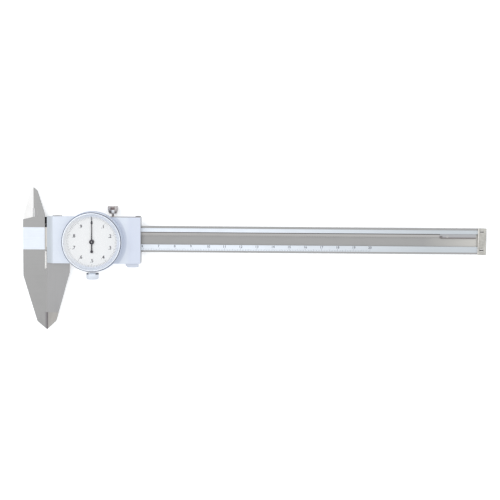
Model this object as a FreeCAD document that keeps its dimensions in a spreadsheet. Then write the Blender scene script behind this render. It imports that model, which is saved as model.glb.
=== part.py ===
"""A 200 mm dial caliper, piece by piece, in millimetres.

The sketches are drawn from the line where the jaws meet (x = 0), the middle of the beam (y = 0)
and the rear face of the slider's back plate (z = 0). Each piece is then placed so that the dial's
axis stands over the origin. +X runs along the beam, +Y to the inside jaws and +Z out of the dial.
"""
import FreeCAD
import Part
import math
import os
import re
import Sketcher
from FreeCAD import Placement, Rotation, Vector

SIZES = {
    # Reach of the instrument
    "travel": 200.0,
    "end_room": 8.2,
    "end_stop_width": 5.3,
    # Beam section
    "beam_height": 16.0,
    "beam_thick": 3.8,
    "edge_step": 0.25,
    "edge_width": 1.1,
    "groove_above": 4.5,
    "groove_below": 3.2,
    "groove_depth": 1.2,
    "groove_start": 24.0,
    "groove_corner": 1.4,
    "rod_groove_half": 1.6,
    "rod_groove_depth": 1.6,
    "rod_groove_start": 40.0,
    # Fixed head and outside jaws
    "head_width": 14.4,
    "head_top": 13.2,
    "head_top_left": 11.7,
    "head_shoulder": 8.4,
    "jaw_relief": 0.95,
    "jaw_relief_drop": 18.9,
    "jaw_reach": 56.8,
    "jaw_shoulder": 23.2,
    "nib_width": 5.9,
    "nib_drop": 51.5,
    "slide_jaw_width": 13.9,
    "slide_jaw_shoulder": 21.3,
    "slide_nib_width": 5.5,
    "facet_width": 4.3,
    "facet_top": 46.0,
    "facet_depth": 0.9,
    "notch_depth": 0.25,
    # Inside jaws
    "inside_edge": 7.83,
    "inside_reach": 31.6,
    "inside_tip_width": 2.3,
    "inside_tip_drop": 2.1,
    "inside_root": 14.7,
    "inside_relief": 0.7,
    "inside_relief_top": 18.6,
    "pass_gap": 0.1,
    # Slider frame
    "slider_left": 0.4,
    "slider_length": 58.0,
    "wall_top": 13.6,
    "wall_bottom": 14.8,
    "slide_gap": 0.1,
    "edge_gap": 0.05,
    "web_thick": 1.2,
    "wall_step": 0.1,
    "pad_width": 5.6,
    "pad_inset": 3.3,
    "end_pad_width": 3.2,
    "end_pad_inset": 0.25,
    "pad_height": 0.6,
    # Gib strip and its screws
    "gib_space": 0.9,
    "gib_thick": 0.7,
    "gib_gap": 0.04,
    "gib_inset": 0.8,
    "gib_screw_radius": 0.75,
    # Lock screw
    "lock_x": 40.9,
    "lock_thread_radius": 0.95,
    "lock_pad_thick": 0.8,
    "lock_collar": 2.0,
    "lock_knob_height": 4.7,
    "lock_knob_radius": 3.2,
    "lock_neck_radius": 2.5,
    # Back plate and depth rod
    "back_thick": 1.2,
    "back_corner": 1.2,
    "plate_screw_x": 9.5,
    "plate_screw_y": 11.3,
    "screw_radius": 0.65,
    "screw_gap": 0.05,
    "rod_half": 1.45,
    "rod_thick": 1.3,
    "rod_left": 47.0,
    "rod_foot_length": 10.5,
    "rod_step_length": 2.0,
    "rivet_radius": 0.6,
    "rivet_spacing": 6.0,
    # Front cover
    "cover_lap": 0.3,
    "cover_rise": 2.2,
    "cover_roof": 1.0,
    "cover_wall": 0.8,
    "cover_bevel_run": 4.0,
    "cover_bevel_foot": 0.6,
    "cover_corner": 0.6,
    "lug_length": 7.9,
    "lug_width": 2.4,
    "lug_inset": 1.6,
    "lug_drop": 2.3,
    "lug_height": 3.6,
    "boss_radius": 2.0,
    # Dial case and bezel
    "dial_x": 29.0,
    "dial_y": -1.3,
    "bezel_radius": 18.2,
    "bezel_wall": 0.7,
    "bezel_gap": 0.1,
    "bezel_lip": 0.6,
    "bezel_edge": 0.5,
    "bezel_opening": 17.2,
    "case_lap": 0.5,
    "case_wall": 0.8,
    "case_floor": 0.8,
    "case_step": 2.8,
    "case_rim_over": 0.7,
    "ring_room": 0.5,
    "case_screw_ring": 11.0,
    "ring_height": 0.8,
    "ring_thick": 0.25,
    "dial_thick": 0.4,
    "dial_hole": 1.0,
    "crystal_room": 1.4,
    "spacer_inner": 16.4,
    "spacer_top": 0.2,
    "crystal_thick": 1.0,
    # Bezel clamp
    "clamp_lug_half": 1.65,
    "clamp_lug_reach": 0.55,
    "clamp_rise": 1.3,
    "clamp_screw_radius": 0.8,
    "clamp_knob_radius": 3.8,
    "clamp_knob_length": 3.95,
    "clamp_knob_gap": 0.1,
    "clamp_pin_radius": 0.3,
    # Rack and gear train
    "rack_pitch": 1.0,
    "pressure_angle": 25.0,
    "tooth_height": 0.8,
    "tooth_root": 1.05,
    "backlash": 0.03,
    "rack_back_gap": 0.4,
    "rack_line": 2.25,
    "rack_thick": 1.0,
    "rack_run_out": 7.4,
    "rack_end_gap": 1.0,
    "rack_head": 6.0,
    "rack_screw_inset": 4.0,
    "tail_drop": 0.4,
    "rack_screw_radius": 0.5,
    "pinion_teeth": 10,
    "wheel_teeth": 80,
    "centre_teeth": 8,
    "wheel_module": 0.175,
    "main_thick": 0.6,
    "gear_room": 2.0,
    "bridge_thick": 0.6,
    "plate_radius": 15.4,
    "bridge_radius": 14.4,
    "wheel_thick": 0.5,
    "scissor_thick": 0.4,
    "wheel_hub_radius": 1.4,
    "wheel_rim": 1.1,
    "wheel_hub_rise": 0.3,
    "arbor_radius": 0.5,
    "pivot_gap": 0.03,
    "bush_wall": 0.5,
    "pillar_radius": 1.2,
    "pillar_ring": 12.5,
    "movement_ring": 13.6,
    # Needle
    "needle_length": 15.3,
    "needle_tail": 6.8,
    "needle_width": 0.7,
    "needle_thick": 0.2,
    "needle_rise": 0.4,
    "needle_disc": 0.85,
    "hub_radius": 1.5,
    "hub_bore": 0.4,
    # End stop
    "stop_thick": 0.8,
    "stop_lap": 0.3,
    "stop_screw_upper": 6.0,
    "stop_screw_lower": 5.4,
    "stop_screw_radius": 0.6,
}

# Places and sizes that follow from the ones above
DERIVED = {
    "half_beam": "beam_height / 2",
    "land_half": "half_beam - edge_width",
    "land_bottom": "back_thick + slide_gap",
    "land_top": "land_bottom + beam_thick",
    "edge_bottom": "land_bottom + edge_step",
    "edge_top": "land_top - edge_step",
    "edge_thick": "beam_thick - 2 * edge_step",
    "edge_middle": "land_bottom + beam_thick / 2",
    "groove_floor": "land_top - groove_depth",
    "slider_right": "slider_left + slider_length",
    "stop_left": "slider_right + travel + end_room",
    "beam_end": "stop_left + end_stop_width",
    "web_bottom": "land_top + slide_gap",
    "web_top": "web_bottom + web_thick",
    "wall_rise": "web_bottom + wall_step",
    "channel_top": "half_beam + gib_space",
    "channel_bottom": "-half_beam - edge_gap",
    "cover_top": "web_top + cover_rise",
    "cover_north": "wall_top + cover_lap",
    "cover_south": "-wall_bottom - cover_lap",
    "roof_bottom": "cover_top - cover_roof",
    "floor_top": "cover_top + case_floor",
    "main_top": "floor_top + main_thick",
    "bridge_bottom": "main_top + gear_room",
    "bridge_top": "bridge_bottom + bridge_thick",
    "case_rim": "bridge_top + case_rim_over",
    "step_top": "cover_top + case_step",
    "bezel_bottom": "step_top + bezel_gap",
    "case_radius": "bezel_radius + case_lap",
    "skirt_inner": "bezel_radius - bezel_wall",
    "rim_outer": "skirt_inner - ring_room",
    "rim_inner": "rim_outer - case_wall",
    "dial_bottom": "case_rim + bezel_gap",
    "dial_top": "dial_bottom + dial_thick",
    "crystal_bottom": "dial_top + crystal_room",
    "crystal_top": "crystal_bottom + crystal_thick",
    "bezel_top": "crystal_top + bezel_lip",
    "inlay_radius": "skirt_inner - edge_gap",
    "ring_bottom": "step_top + bezel_gap",
    "ring_top": "ring_bottom + ring_height",
    "clamp_z": "cover_top + clamp_rise",
    "clamp_pin_ring": "(skirt_inner + bezel_radius) / 2",
    "clamp_lug_end": "case_radius + clamp_lug_reach",
    "clamp_knob_top": "clamp_lug_end + clamp_knob_gap",
    "module": "rack_pitch / 3.14159265358979",
    "rack_tips": "rack_line - tooth_height * module",
    "pinion_radius": "pinion_teeth * module / 2",
    "wheel_radius": "wheel_teeth * wheel_module / 2",
    "centre_radius": "centre_teeth * wheel_module / 2",
    "mesh_distance": "wheel_radius + centre_radius",
    "arbor_y": "rack_line - pinion_radius",
    "arbor_rise": "arbor_y - dial_y",
    "arbor_run": "sqrt(mesh_distance^2 - arbor_rise^2)",
    "arbor_x": "dial_x + arbor_run",
    "bush_radius": "arbor_radius + pivot_gap + bush_wall",
    "wheel_bottom": "main_top + wheel_hub_rise",
    "wheel_top": "wheel_bottom + wheel_thick",
    "scissor_bottom": "wheel_top + slide_gap",
    "scissor_top": "scissor_bottom + scissor_thick",
    "toothed_end": "arbor_x + travel + rack_run_out",
    "rack_end": "stop_left - rack_end_gap",
    "rack_start": "groove_start + groove_corner",
    "rack_back": "groove_above - rack_back_gap",
    "rack_top": "groove_floor + rack_thick",
    "rod_bottom": "land_bottom + rod_groove_depth - slide_gap - rod_thick",
    "plate_screw_left": "slider_left + plate_screw_x",
    "plate_screw_right": "slider_right - plate_screw_x",
    "needle_z": "dial_top + needle_rise",
    "lock_tip": "channel_top - gib_space + gib_gap + gib_thick + lock_pad_thick + edge_gap",
}

CASE_SCREW_ANGLES = (60, 180, 300)
PILLAR_ANGLES = (62, 180, 322)
MOVEMENT_ANGLES = (100, 190, 280)

doc = FreeCAD.newDocument("dial_caliper")
sheet = doc.addObject("Spreadsheet::Sheet", "Sizes")
for row, (alias, amount) in enumerate(SIZES.items(), start=1):
    sheet.set(f"A{row}", alias)
    sheet.set(f"B{row}", str(amount))
    sheet.setAlias(f"B{row}", alias)
doc.recompute()


def formula(text):
    """Turn a sum of plain size names into an expression on the sheet's cells."""
    def swap(match):
        word = match.group(0)
        if word in DERIVED:
            return "(" + formula(DERIVED[word]) + ")"
        return "Sizes." + word if word in SIZES else word
    return re.sub(r"[a-z_]+", swap, str(text))


def number(text):
    """The value of such a sum, in millimetres or degrees."""
    return float(sheet.evalExpression(formula(text)))


def piece(label):
    """A body for one sub-part, shifted from the jaw line to the dial's axis."""
    body = doc.addObject("PartDesign::Body", label)
    body.Label = label
    seat(body)
    return body


def seat(thing, x="0", y="0", z="0"):
    """Stand a sub-part's own origin at a place given from the jaw line."""
    thing.setExpression("Placement.Base.x", formula(f"{x} - dial_x"))
    thing.setExpression("Placement.Base.y", formula(f"{y} - dial_y"))
    thing.setExpression("Placement.Base.z", formula(z))


def sketch_on(body, role, level="0"):
    """An empty sketch on one of the body's own planes, lifted along the plane's normal."""
    sketch = body.newObject("Sketcher::SketchObject", body.Label + "_sketch")
    plane = [feature for feature in body.Origin.OriginFeatures if feature.Role == role][0]
    sketch.AttachmentSupport = [(plane, "")]
    sketch.MapMode = "FlatFace"
    sketch.setExpression("AttachmentOffset.Base.z", formula(level))
    return sketch


def pin_point(sketch, geometry, end, x, y):
    """Hold one point of a sketch at two distances that the sheet gives."""
    for kind, text in (("DistanceX", x), ("DistanceY", y)):
        place = sketch.addConstraint(Sketcher.Constraint(kind, -1, 1, geometry, end, number(text)))
        sketch.setExpression(f"Constraints[{place}]", formula(text))


def outline(sketch, corners):
    """Draw a closed run of straight lines through corners written as pairs of sums."""
    points = [Vector(number(x), number(y), 0) for x, y in corners]
    first = sketch.GeometryCount
    count = len(points)
    for i, point in enumerate(points):
        sketch.addGeometry(Part.LineSegment(point, points[(i + 1) % count]), False)
    for i, (x, y) in enumerate(corners):
        after = first + (i + 1) % count
        sketch.addConstraint(Sketcher.Constraint("Coincident", first + i, 2, after, 1))
        pin_point(sketch, first + i, 1, x, y)
    return sketch


def box_outline(sketch, left, right, low, high):
    """Draw a rectangle between two x places and two y places."""
    return outline(sketch, [(left, low), (right, low), (right, high), (left, high)])


def circles(sketch, centres, radius):
    """Draw equal circles whose centres are pairs of sums."""
    for x, y in centres:
        middle = Vector(number(x), number(y), 0)
        ring = sketch.addGeometry(Part.Circle(middle, Vector(0, 0, 1), number(radius)), False)
        place = sketch.addConstraint(Sketcher.Constraint("Radius", ring, number(radius)))
        sketch.setExpression(f"Constraints[{place}]", formula(radius))
        pin_point(sketch, ring, 3, x, y)
    return sketch


def few_sided(sketch, centres, radius, sides=8):
    """Draw equal regular polygons with their flats at a radius, for rounds that stay hidden."""
    reach = f"({radius}) / cos({180 / sides})"
    for x, y in centres:
        turns = [360 * (k + 0.5) / sides for k in range(sides)]
        outline(sketch, [(f"{x} + {reach} * cos({turn})", f"{y} + {reach} * sin({turn})") for turn in turns])
    return sketch


def pad(sketch, length, backward=False, taper=0):
    """Raise a sketch into solid material."""
    body = sketch.getParentGeoFeatureGroup()
    feature = body.newObject("PartDesign::Pad", body.Label + "_pad")
    feature.Profile = sketch
    feature.setExpression("Length", formula(length))
    feature.Reversed = backward
    feature.TaperAngle = taper
    return feature


def pocket(sketch, depth=None, upward=False):
    """Cut a sketch into the body, to a depth or right through both ways."""
    body = sketch.getParentGeoFeatureGroup()
    feature = body.newObject("PartDesign::Pocket", body.Label + "_pocket")
    feature.Profile = sketch
    feature.Reversed = upward
    if depth is None:
        feature.Type = "ThroughAll"
        feature.Midplane = True
    else:
        feature.setExpression("Length", formula(depth))
    return feature


def revolve(body, corners, angle=360):
    """Turn a profile of (radius, height) corners about the body's own Z axis."""
    sketch = outline(sketch_on(body, "XZ_Plane"), corners)
    feature = body.newObject("PartDesign::Revolution", body.Label + "_turned")
    feature.Profile = sketch
    feature.ReferenceAxis = (sketch, ["V_Axis"])
    feature.Angle = angle
    return feature


def round_edges(body, radius, wanted, chamfer=False):
    """Fillet or chamfer the edges of the body's last feature that a test picks out."""
    doc.recompute()
    base = body.Tip
    names = [f"Edge{i}" for i, edge in enumerate(base.Shape.Edges, start=1) if wanted(edge)]
    if not names:
        raise RuntimeError(f"{body.Label}: no edge to round")
    kind = "PartDesign::Chamfer" if chamfer else "PartDesign::Fillet"
    feature = body.newObject(kind, body.Label + "_edge")
    feature.Base = (base, names)
    feature.setExpression("Size" if chamfer else "Radius", formula(radius))
    body.Tip = feature
    return feature


def upright_at(*places):
    """An edge test: upright edges that stand over the given x and y places."""
    spots = [(number(x), number(y)) for x, y in places]

    def wanted(edge):
        box = edge.BoundBox
        upright = box.XLength < 1e-6 and box.YLength < 1e-6
        return upright and any(abs(box.XMin - x) < 1e-4 and abs(box.YMin - y) < 1e-4 for x, y in spots)
    return wanted


def on_dial(radius, angles):
    """Places on a circle about the dial's axis, given from the jaw line."""
    return [(f"dial_x + {radius} * cos({angle})", f"dial_y + {radius} * sin({angle})") for angle in angles]


def plain_feature(label, shape, x="0", y="0", z="0"):
    """A sub-part whose shape is worked out below, with its own origin at a given place."""
    feature = doc.addObject("Part::Feature", label)
    feature.Label = label
    feature.Shape = shape
    feature.Placement = Placement(Vector(0, 0, 0), Rotation())
    seat(feature, x, y, z)
    return feature


# Beam with its fixed jaws

def make_beam():
    """The beam, its head, the fixed outside jaw and the front half of the inside jaws."""
    body = piece("beam")
    plan = sketch_on(body, "XY_Plane", "edge_bottom")
    outline(plan, [
        ("beam_end", "-half_beam"),
        ("beam_end", "half_beam"),
        ("-jaw_relief", "half_beam"),
        ("-jaw_relief", "inside_root"),
        ("inside_tip_width - inside_edge", "inside_reach - inside_tip_drop"),
        ("-inside_edge", "inside_reach"),
        ("-inside_edge", "inside_relief_top"),
        ("inside_relief - inside_edge", "inside_relief_top"),
        ("inside_relief - inside_edge", "head_top"),
        ("-head_shoulder", "head_top"),
        ("-head_width", "head_top_left"),
        ("-head_width", "-jaw_shoulder"),
        ("-nib_width", "-nib_drop"),
        ("0", "-jaw_reach"),
        ("0", "-jaw_relief_drop"),
        ("-jaw_relief", "-jaw_relief_drop"),
        ("-jaw_relief", "-half_beam"),
    ])
    pad(plan, "edge_thick")
    lands = box_outline(sketch_on(body, "XY_Plane", "land_bottom"), "-head_width", "beam_end",
                        "-land_half", "land_half")
    pad(lands, "beam_thick")
    behind = box_outline(sketch_on(body, "XY_Plane", "edge_middle + pass_gap / 2"),
                         "-head_width - 1", "-jaw_relief + 1", "channel_top - gib_gap - gib_thick",
                         "inside_reach + 1")
    pocket(behind, "beam_thick")
    notch = box_outline(sketch_on(body, "XY_Plane", "land_top"), "-jaw_relief", "slider_left",
                        "-half_beam", "half_beam")
    pocket(notch, "notch_depth")
    groove = box_outline(sketch_on(body, "XY_Plane", "land_top"), "groove_start", "beam_end + 1",
                         "-groove_below", "groove_above")
    pocket(groove, "groove_depth")
    round_edges(body, "groove_corner",
                upright_at(("groove_start", "groove_above"), ("groove_start", "-groove_below")))
    rear = box_outline(sketch_on(body, "XY_Plane", "land_bottom"), "rod_groove_start",
                       "beam_end + 1", "-rod_groove_half", "rod_groove_half")
    pocket(rear, "rod_groove_depth", upward=True)
    tips = sketch_on(body, "XZ_Plane", "facet_top")
    outline(tips, [("-facet_width", "edge_top"), ("0", "edge_top - facet_depth"),
                   ("1", "edge_top - facet_depth"), ("1", "edge_top + 1"),
                   ("-facet_width", "edge_top + 1")])
    outline(tips, [("-facet_width", "edge_bottom"), ("0", "edge_bottom + facet_depth"),
                   ("1", "edge_bottom + facet_depth"), ("1", "edge_bottom - 1"),
                   ("-facet_width", "edge_bottom - 1")])
    pocket(tips, "jaw_reach", upward=True)
    bores = few_sided(sketch_on(body, "XY_Plane", "land_top"), rack_screw_places(),
                      "rack_screw_radius + screw_gap")
    pocket(bores, "groove_depth + rack_thick")
    bores = few_sided(sketch_on(body, "XY_Plane", "land_top"), stop_screw_places(),
                      "stop_screw_radius + screw_gap")
    pocket(bores, "edge_thick")
    return body


def rack_screw_places():
    """One screw through the rack's head and one through its tail."""
    return [("rack_start + rack_screw_inset", "(rack_tips + groove_above) / 2"),
            ("toothed_end + rack_screw_inset", "(rack_tips - tail_drop + groove_above) / 2")]


def stop_screw_places():
    """The end stop's two screws, one on each land."""
    middle = "stop_left + end_stop_width * 0.45"
    return [(middle, "stop_screw_upper"), (middle, "-stop_screw_lower")]


def make_end_stop():
    """The plate across the beam's end, with a tongue that fills the groove."""
    body = piece("end_stop")
    plate = box_outline(sketch_on(body, "XY_Plane", "land_top"), "stop_left", "beam_end",
                        "-half_beam - stop_lap", "half_beam + stop_lap")
    pad(plate, "stop_thick")
    tongue = box_outline(sketch_on(body, "XY_Plane", "groove_floor"), "stop_left + stop_lap",
                         "beam_end", "-groove_below + edge_gap", "groove_above - edge_gap")
    pad(tongue, "groove_depth")
    bores = few_sided(sketch_on(body, "XY_Plane", "land_top + stop_thick"), stop_screw_places(),
                      "stop_screw_radius + screw_gap")
    pocket(bores, "stop_thick")
    heads = few_sided(sketch_on(body, "XY_Plane", "land_top + stop_thick"), stop_screw_places(),
                      "2 * stop_screw_radius", 12)
    pocket(heads, "stop_thick / 2")
    round_edges(body, "stop_lap", upright_at(("beam_end", "half_beam + stop_lap"),
                                             ("beam_end", "-half_beam - stop_lap")), chamfer=True)
    return body


def slotted_screws(label, places, shank, head, tip, seat_level, top, sides=8, slot_along_x=True):
    """Equal cheese-headed screws that stand upright, with a slot across each head."""
    body = piece(label)
    shanks = few_sided(sketch_on(body, "XY_Plane", tip), places, shank)
    pad(shanks, f"({seat_level}) - ({tip})")
    heads = few_sided(sketch_on(body, "XY_Plane", seat_level), places, head, sides)
    pad(heads, f"({top}) - ({seat_level})")
    slots = sketch_on(body, "XY_Plane", top)
    long_half = f"1.2 * ({head})"
    short_half = f"0.22 * ({head})"
    across, along = (long_half, short_half) if slot_along_x else (short_half, long_half)
    for x, y in places:
        box_outline(slots, f"{x} - {across}", f"{x} + {across}", f"{y} - {along}", f"{y} + {along}")
    pocket(slots, f"0.45 * (({top}) - ({seat_level}))")
    return body


# Rack and gears

def rack_outline():
    """The rack's edge in plan: a head, teeth that face down the beam, and a wider tail."""
    pitch = number("rack_pitch")
    slope = math.tan(math.radians(number("pressure_angle")))
    module = number("module")
    rise = number("tooth_height") * module
    line = number("rack_line")
    half = pitch / 4 - number("backlash") / 2
    root = line + (pitch / 2 - half) / slope
    axis = number("arbor_x")
    start = number("rack_start")
    tooth_start = start + number("rack_head")
    end = number("rack_end")
    wall = number("groove_above - edge_gap")
    back = number("rack_back")
    tips = line - rise
    points = [(start, tips)]
    first = math.ceil((tooth_start - axis) / pitch - 0.5)
    last = math.floor((number("toothed_end") - axis) / pitch - 0.5)
    points.append((axis + (first - 0.5) * pitch + half - rise * slope, tips))
    for k in range(first, last + 1):
        middle = axis + (k + 0.5) * pitch
        points.append((middle - pitch / 2, root))
        points.append((middle - half + rise * slope, tips))
        if k < last:
            points.append((middle + half - rise * slope, tips))
    tail_start = axis + (last + 1) * pitch
    low = tips - number("tail_drop")
    points += [(tail_start, tips), (tail_start + tips - low, low), (end, low), (end, wall)]
    points += [(tail_start, wall), (tail_start, back)]
    points += [(tooth_start, back), (tooth_start, wall), (start, wall)]
    return points


def prism(points, bottom, top):
    """A flat plate with a straight-sided outline between two levels."""
    loop = [Vector(x, y, bottom) for x, y in points]
    face = Part.Face(Part.makePolygon(loop + loop[:1]))
    return face.extrude(Vector(0, 0, top - bottom))


def rod_solid(radius, bottom, top, x=0.0, y=0.0):
    """A plain upright cylinder."""
    return Part.makeCylinder(radius, top - bottom, Vector(x, y, bottom))


def ring_points(radius, sides, x=0.0, y=0.0, start=0.5):
    """Corners of a regular polygon whose flats lie at a radius."""
    reach = radius / math.cos(math.pi / sides)
    turns = [2 * math.pi * (k + start) / sides for k in range(sides)]
    return [(x + reach * math.cos(turn), y + reach * math.sin(turn)) for turn in turns]


def make_rack():
    """The toothed strip along the upper wall of the groove."""
    strip = prism(rack_outline(), number("groove_floor"), number("rack_top"))
    for x, y in rack_screw_places():
        hole = ring_points(number("rack_screw_radius + screw_gap"), 8, number(x), number(y))
        strip = strip.cut(prism(hole, number("groove_floor"), number("rack_top")))
    return plain_feature("rack", strip)


def gear_outline(teeth, module, first_angle, flank_steps, sharp_root=False):
    """A gear's edge: involute flanks drawn as chords, with one tooth centred on first_angle."""
    pitch_radius = teeth * module / 2
    pressure = math.radians(number("pressure_angle"))
    base = pitch_radius * math.cos(pressure)
    root = pitch_radius - number("tooth_root") * module
    tip = pitch_radius + number("tooth_height") * module
    half_tooth = (math.pi * module / 2 - number("backlash") / 2) / (2 * pitch_radius)
    start = max(root, base)

    def half_angle(radius):
        turn = math.acos(min(1.0, base / radius))
        roll = math.tan(turn) - turn
        return half_tooth + math.tan(pressure) - pressure - roll

    radii = [start + (tip - start) * i / flank_steps for i in range(flank_steps + 1)]
    flank = [(radius, half_angle(radius)) for radius in radii]
    if root < start:
        flank.insert(0, (root, flank[0][1]))
    profile = [(r, -a) for r, a in flank] + [(r, a) for r, a in reversed(flank)]
    if sharp_root:
        narrowing = (half_angle(start) - half_angle(tip)) / (tip - start)
        bottom = start - (math.pi / teeth - half_angle(start)) / narrowing
        profile = [(bottom, -math.pi / teeth)] + profile[1:-1]
    points = []
    for k in range(teeth):
        centre = first_angle + 2 * math.pi * k / teeth
        points += [(r * math.cos(centre + a), r * math.sin(centre + a)) for r, a in profile]
    return points


def mesh_angle():
    """Direction from the drive arbor to the dial's axis."""
    return math.atan2(-number("arbor_rise"), -number("arbor_run"))


def make_drive_arbor():
    """The shaft that carries the rack pinion at its foot and the wheel above."""
    teeth = gear_outline(int(number("pinion_teeth")), number("module"), math.pi / 2, 1)
    bottom = number("groove_floor + slide_gap")
    pinion = prism(teeth, bottom, number("land_top - slide_gap / 2"))
    shaft = rod_solid(number("arbor_radius"), bottom, number("bridge_top + slide_gap"))
    return plain_feature("drive_arbor", pinion.fuse(shaft).removeSplitter(), "arbor_x", "arbor_y")


def wheel_disc(bottom, top, bore):
    """A toothed wheel with five spokes, one tooth space facing the centre pinion."""
    count = int(number("wheel_teeth"))
    first = mesh_angle() + math.pi / count
    disc = prism(gear_outline(count, number("wheel_module"), first, 1, sharp_root=True), bottom, top)
    disc = disc.cut(prism(ring_points(bore, 12), bottom, top))
    inner = number("wheel_hub_radius + wheel_rim")
    outer = number("wheel_radius - wheel_rim")
    for k in range(5):
        middle = 2 * math.pi * (k + 0.5) / 5
        corners = [(inner, -0.38), (outer, -0.5), (outer * 1.04, 0.0), (outer, 0.5), (inner, 0.38)]
        window = [(r * math.cos(middle + a), r * math.sin(middle + a)) for r, a in corners]
        disc = disc.cut(prism(window, bottom, top))
    return disc


def make_drive_gear():
    """The wheel on the arbor, with the hub that carries the scissor gear."""
    bore = number("arbor_radius")
    hub = number("wheel_hub_radius")
    disc = wheel_disc(number("wheel_bottom"), number("wheel_top"), bore)
    collar = prism(ring_points(hub, 12), number("main_top + slide_gap"), number("scissor_top + slide_gap"))
    collar = collar.cut(prism(ring_points(bore, 12), number("main_top"), number("bridge_bottom")))
    return plain_feature("drive_gear", disc.fuse(collar).removeSplitter(), "arbor_x", "arbor_y")


def make_scissor_gear():
    """The second wheel that a spring turns against the first to take up the backlash."""
    disc = wheel_disc(number("scissor_bottom"), number("scissor_top"),
                      number("wheel_hub_radius + pivot_gap"))
    return plain_feature("scissor_gear", disc, "arbor_x", "arbor_y")


def open_ring(label, inner, outer, thick, sides, gap_steps, x, y, z):
    """A flat ring of straight runs, bent round an axis and left open on one side."""
    body = piece(label)
    seat(body, x, y, z)
    turns = [360 * k / sides for k in range(sides + 1 - gap_steps)]
    run = [(f"({outer}) * cos({turn})", f"({outer}) * sin({turn})") for turn in turns]
    run += [(f"({inner}) * cos({turn})", f"({inner}) * sin({turn})") for turn in reversed(turns)]
    pad(outline(sketch_on(body, "XY_Plane"), run), thick)
    return body


def make_scissor_spring():
    """The open spring ring that lies on the scissor gear round the hub."""
    return open_ring("scissor_spring", "wheel_hub_radius * 1.2", "wheel_hub_radius * 1.2 + 0.4", "0.25",
                     12, 2, "arbor_x", "arbor_y", "scissor_top + edge_gap")


def make_centre_arbor():
    """The needle's shaft, with the small pinion that both wheels drive."""
    count = int(number("centre_teeth"))
    teeth = gear_outline(count, number("wheel_module"), mesh_angle() + math.pi, 1)
    pinion = prism(teeth, number("wheel_bottom - slide_gap"), number("scissor_top + slide_gap"))
    shaft = rod_solid(number("hub_bore"), number("floor_top + edge_gap"), number("needle_z + 0.5"))
    return plain_feature("centre_arbor", pinion.fuse(shaft).removeSplitter(), "dial_x", "dial_y")


# Slider

def make_slider_frame():
    """The steel frame round the beam, with the moving outside jaw and the rear inside jaw."""
    body = piece("slider_frame")
    walls = box_outline(sketch_on(body, "XY_Plane", "back_thick"), "slider_left", "slider_right",
                        "-wall_bottom", "wall_top")
    pad(walls, "wall_rise - back_thick")
    web = box_outline(sketch_on(body, "XY_Plane", "web_bottom"), *web_edges("edge_gap"))
    pad(web, "web_thick")
    jaw = outline(sketch_on(body, "XY_Plane", "edge_bottom"), [
        ("0", "channel_bottom - edge_gap"),
        ("0", "-jaw_reach"),
        ("slide_nib_width", "-nib_drop"),
        ("slide_jaw_width", "-slide_jaw_shoulder"),
        ("slide_jaw_width", "channel_bottom - edge_gap"),
    ])
    pad(jaw, "edge_thick")
    arm = outline(sketch_on(body, "XY_Plane", "edge_bottom"), [
        ("slider_left + 1", "channel_top"),
        ("-head_width", "channel_top"),
        ("-head_width", "inside_root"),
        ("-inside_edge - inside_tip_width", "inside_reach - inside_tip_drop"),
        ("-inside_edge", "inside_reach"),
        ("-inside_edge", "inside_relief_top"),
        ("-inside_edge - inside_relief", "inside_relief_top"),
        ("-inside_edge - inside_relief", "head_top"),
        ("slider_left + 1", "head_top"),
    ])
    pad(arm, "(edge_thick - pass_gap) / 2")
    pads = sketch_on(body, "XY_Plane", "edge_bottom")
    for left, width in (("slider_left + pad_inset", "pad_width"),
                        ("slider_right - end_pad_inset - end_pad_width", "end_pad_width")):
        box_outline(pads, left, f"{left} + {width}", "wall_top - 1", "wall_top + pad_height")
    pad(pads, "edge_thick")
    channel = box_outline(sketch_on(body, "YZ_Plane", "slider_left - 1"),
                          "channel_bottom", "channel_top", "back_thick - 1", "web_bottom")
    pocket(channel, "slider_length + 2", upward=True)
    tips = sketch_on(body, "XZ_Plane", "facet_top")
    outline(tips, [("facet_width", "edge_top"), ("0", "edge_top - facet_depth"),
                   ("-1", "edge_top - facet_depth"), ("-1", "edge_top + 1"),
                   ("facet_width", "edge_top + 1")])
    outline(tips, [("facet_width", "edge_bottom"), ("0", "edge_bottom + facet_depth"),
                   ("-1", "edge_bottom + facet_depth"), ("-1", "edge_bottom - 1"),
                   ("facet_width", "edge_bottom - 1")])
    pocket(tips, "jaw_reach", upward=True)
    gib_bores = few_sided(sketch_on(body, "XZ_Plane"), [(x, "edge_middle") for x in gib_screw_x()],
                          "gib_screw_radius + screw_gap")
    pocket(gib_bores, "wall_top + pad_height + 1")
    lock_bore = few_sided(sketch_on(body, "XZ_Plane"), [("lock_x", "edge_middle")],
                          "lock_thread_radius + screw_gap")
    pocket(lock_bore, "wall_top + 1")
    plate_bores = few_sided(sketch_on(body, "XY_Plane", "back_thick"), plate_screw_places(),
                            "screw_radius + screw_gap")
    pocket(plate_bores, "edge_thick - 0.3", upward=True)
    web_bores = few_sided(sketch_on(body, "XY_Plane", "web_top"),
                          on_dial("case_screw_ring", CASE_SCREW_ANGLES), "screw_radius + screw_gap")
    pocket(web_bores, "web_thick")
    arbor_bore = few_sided(sketch_on(body, "XY_Plane", "web_top"), [("arbor_x", "arbor_y")],
                           "bush_radius")
    pocket(arbor_bore, "web_thick")
    return body


def web_edges(gap):
    """The web's four sides, which the cover's walls close round with a gap."""
    return ["slider_left + cover_bevel_run + cover_wall", f"slider_right - cover_wall - {gap}",
            f"cover_south + cover_wall + {gap}", f"cover_north - cover_wall - {gap}"]


def gib_screw_x():
    """The gib screws stand in the middle of the two pads."""
    return ["slider_left + pad_inset + pad_width / 2",
            "slider_right - end_pad_inset - end_pad_width / 2"]


def plate_screw_places():
    """The back plate's screws go into the frame's two walls."""
    across = ("plate_screw_left", "plate_screw_right")
    return [(x, y) for x in across for y in ("-plate_screw_y", "plate_screw_y")]


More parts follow.
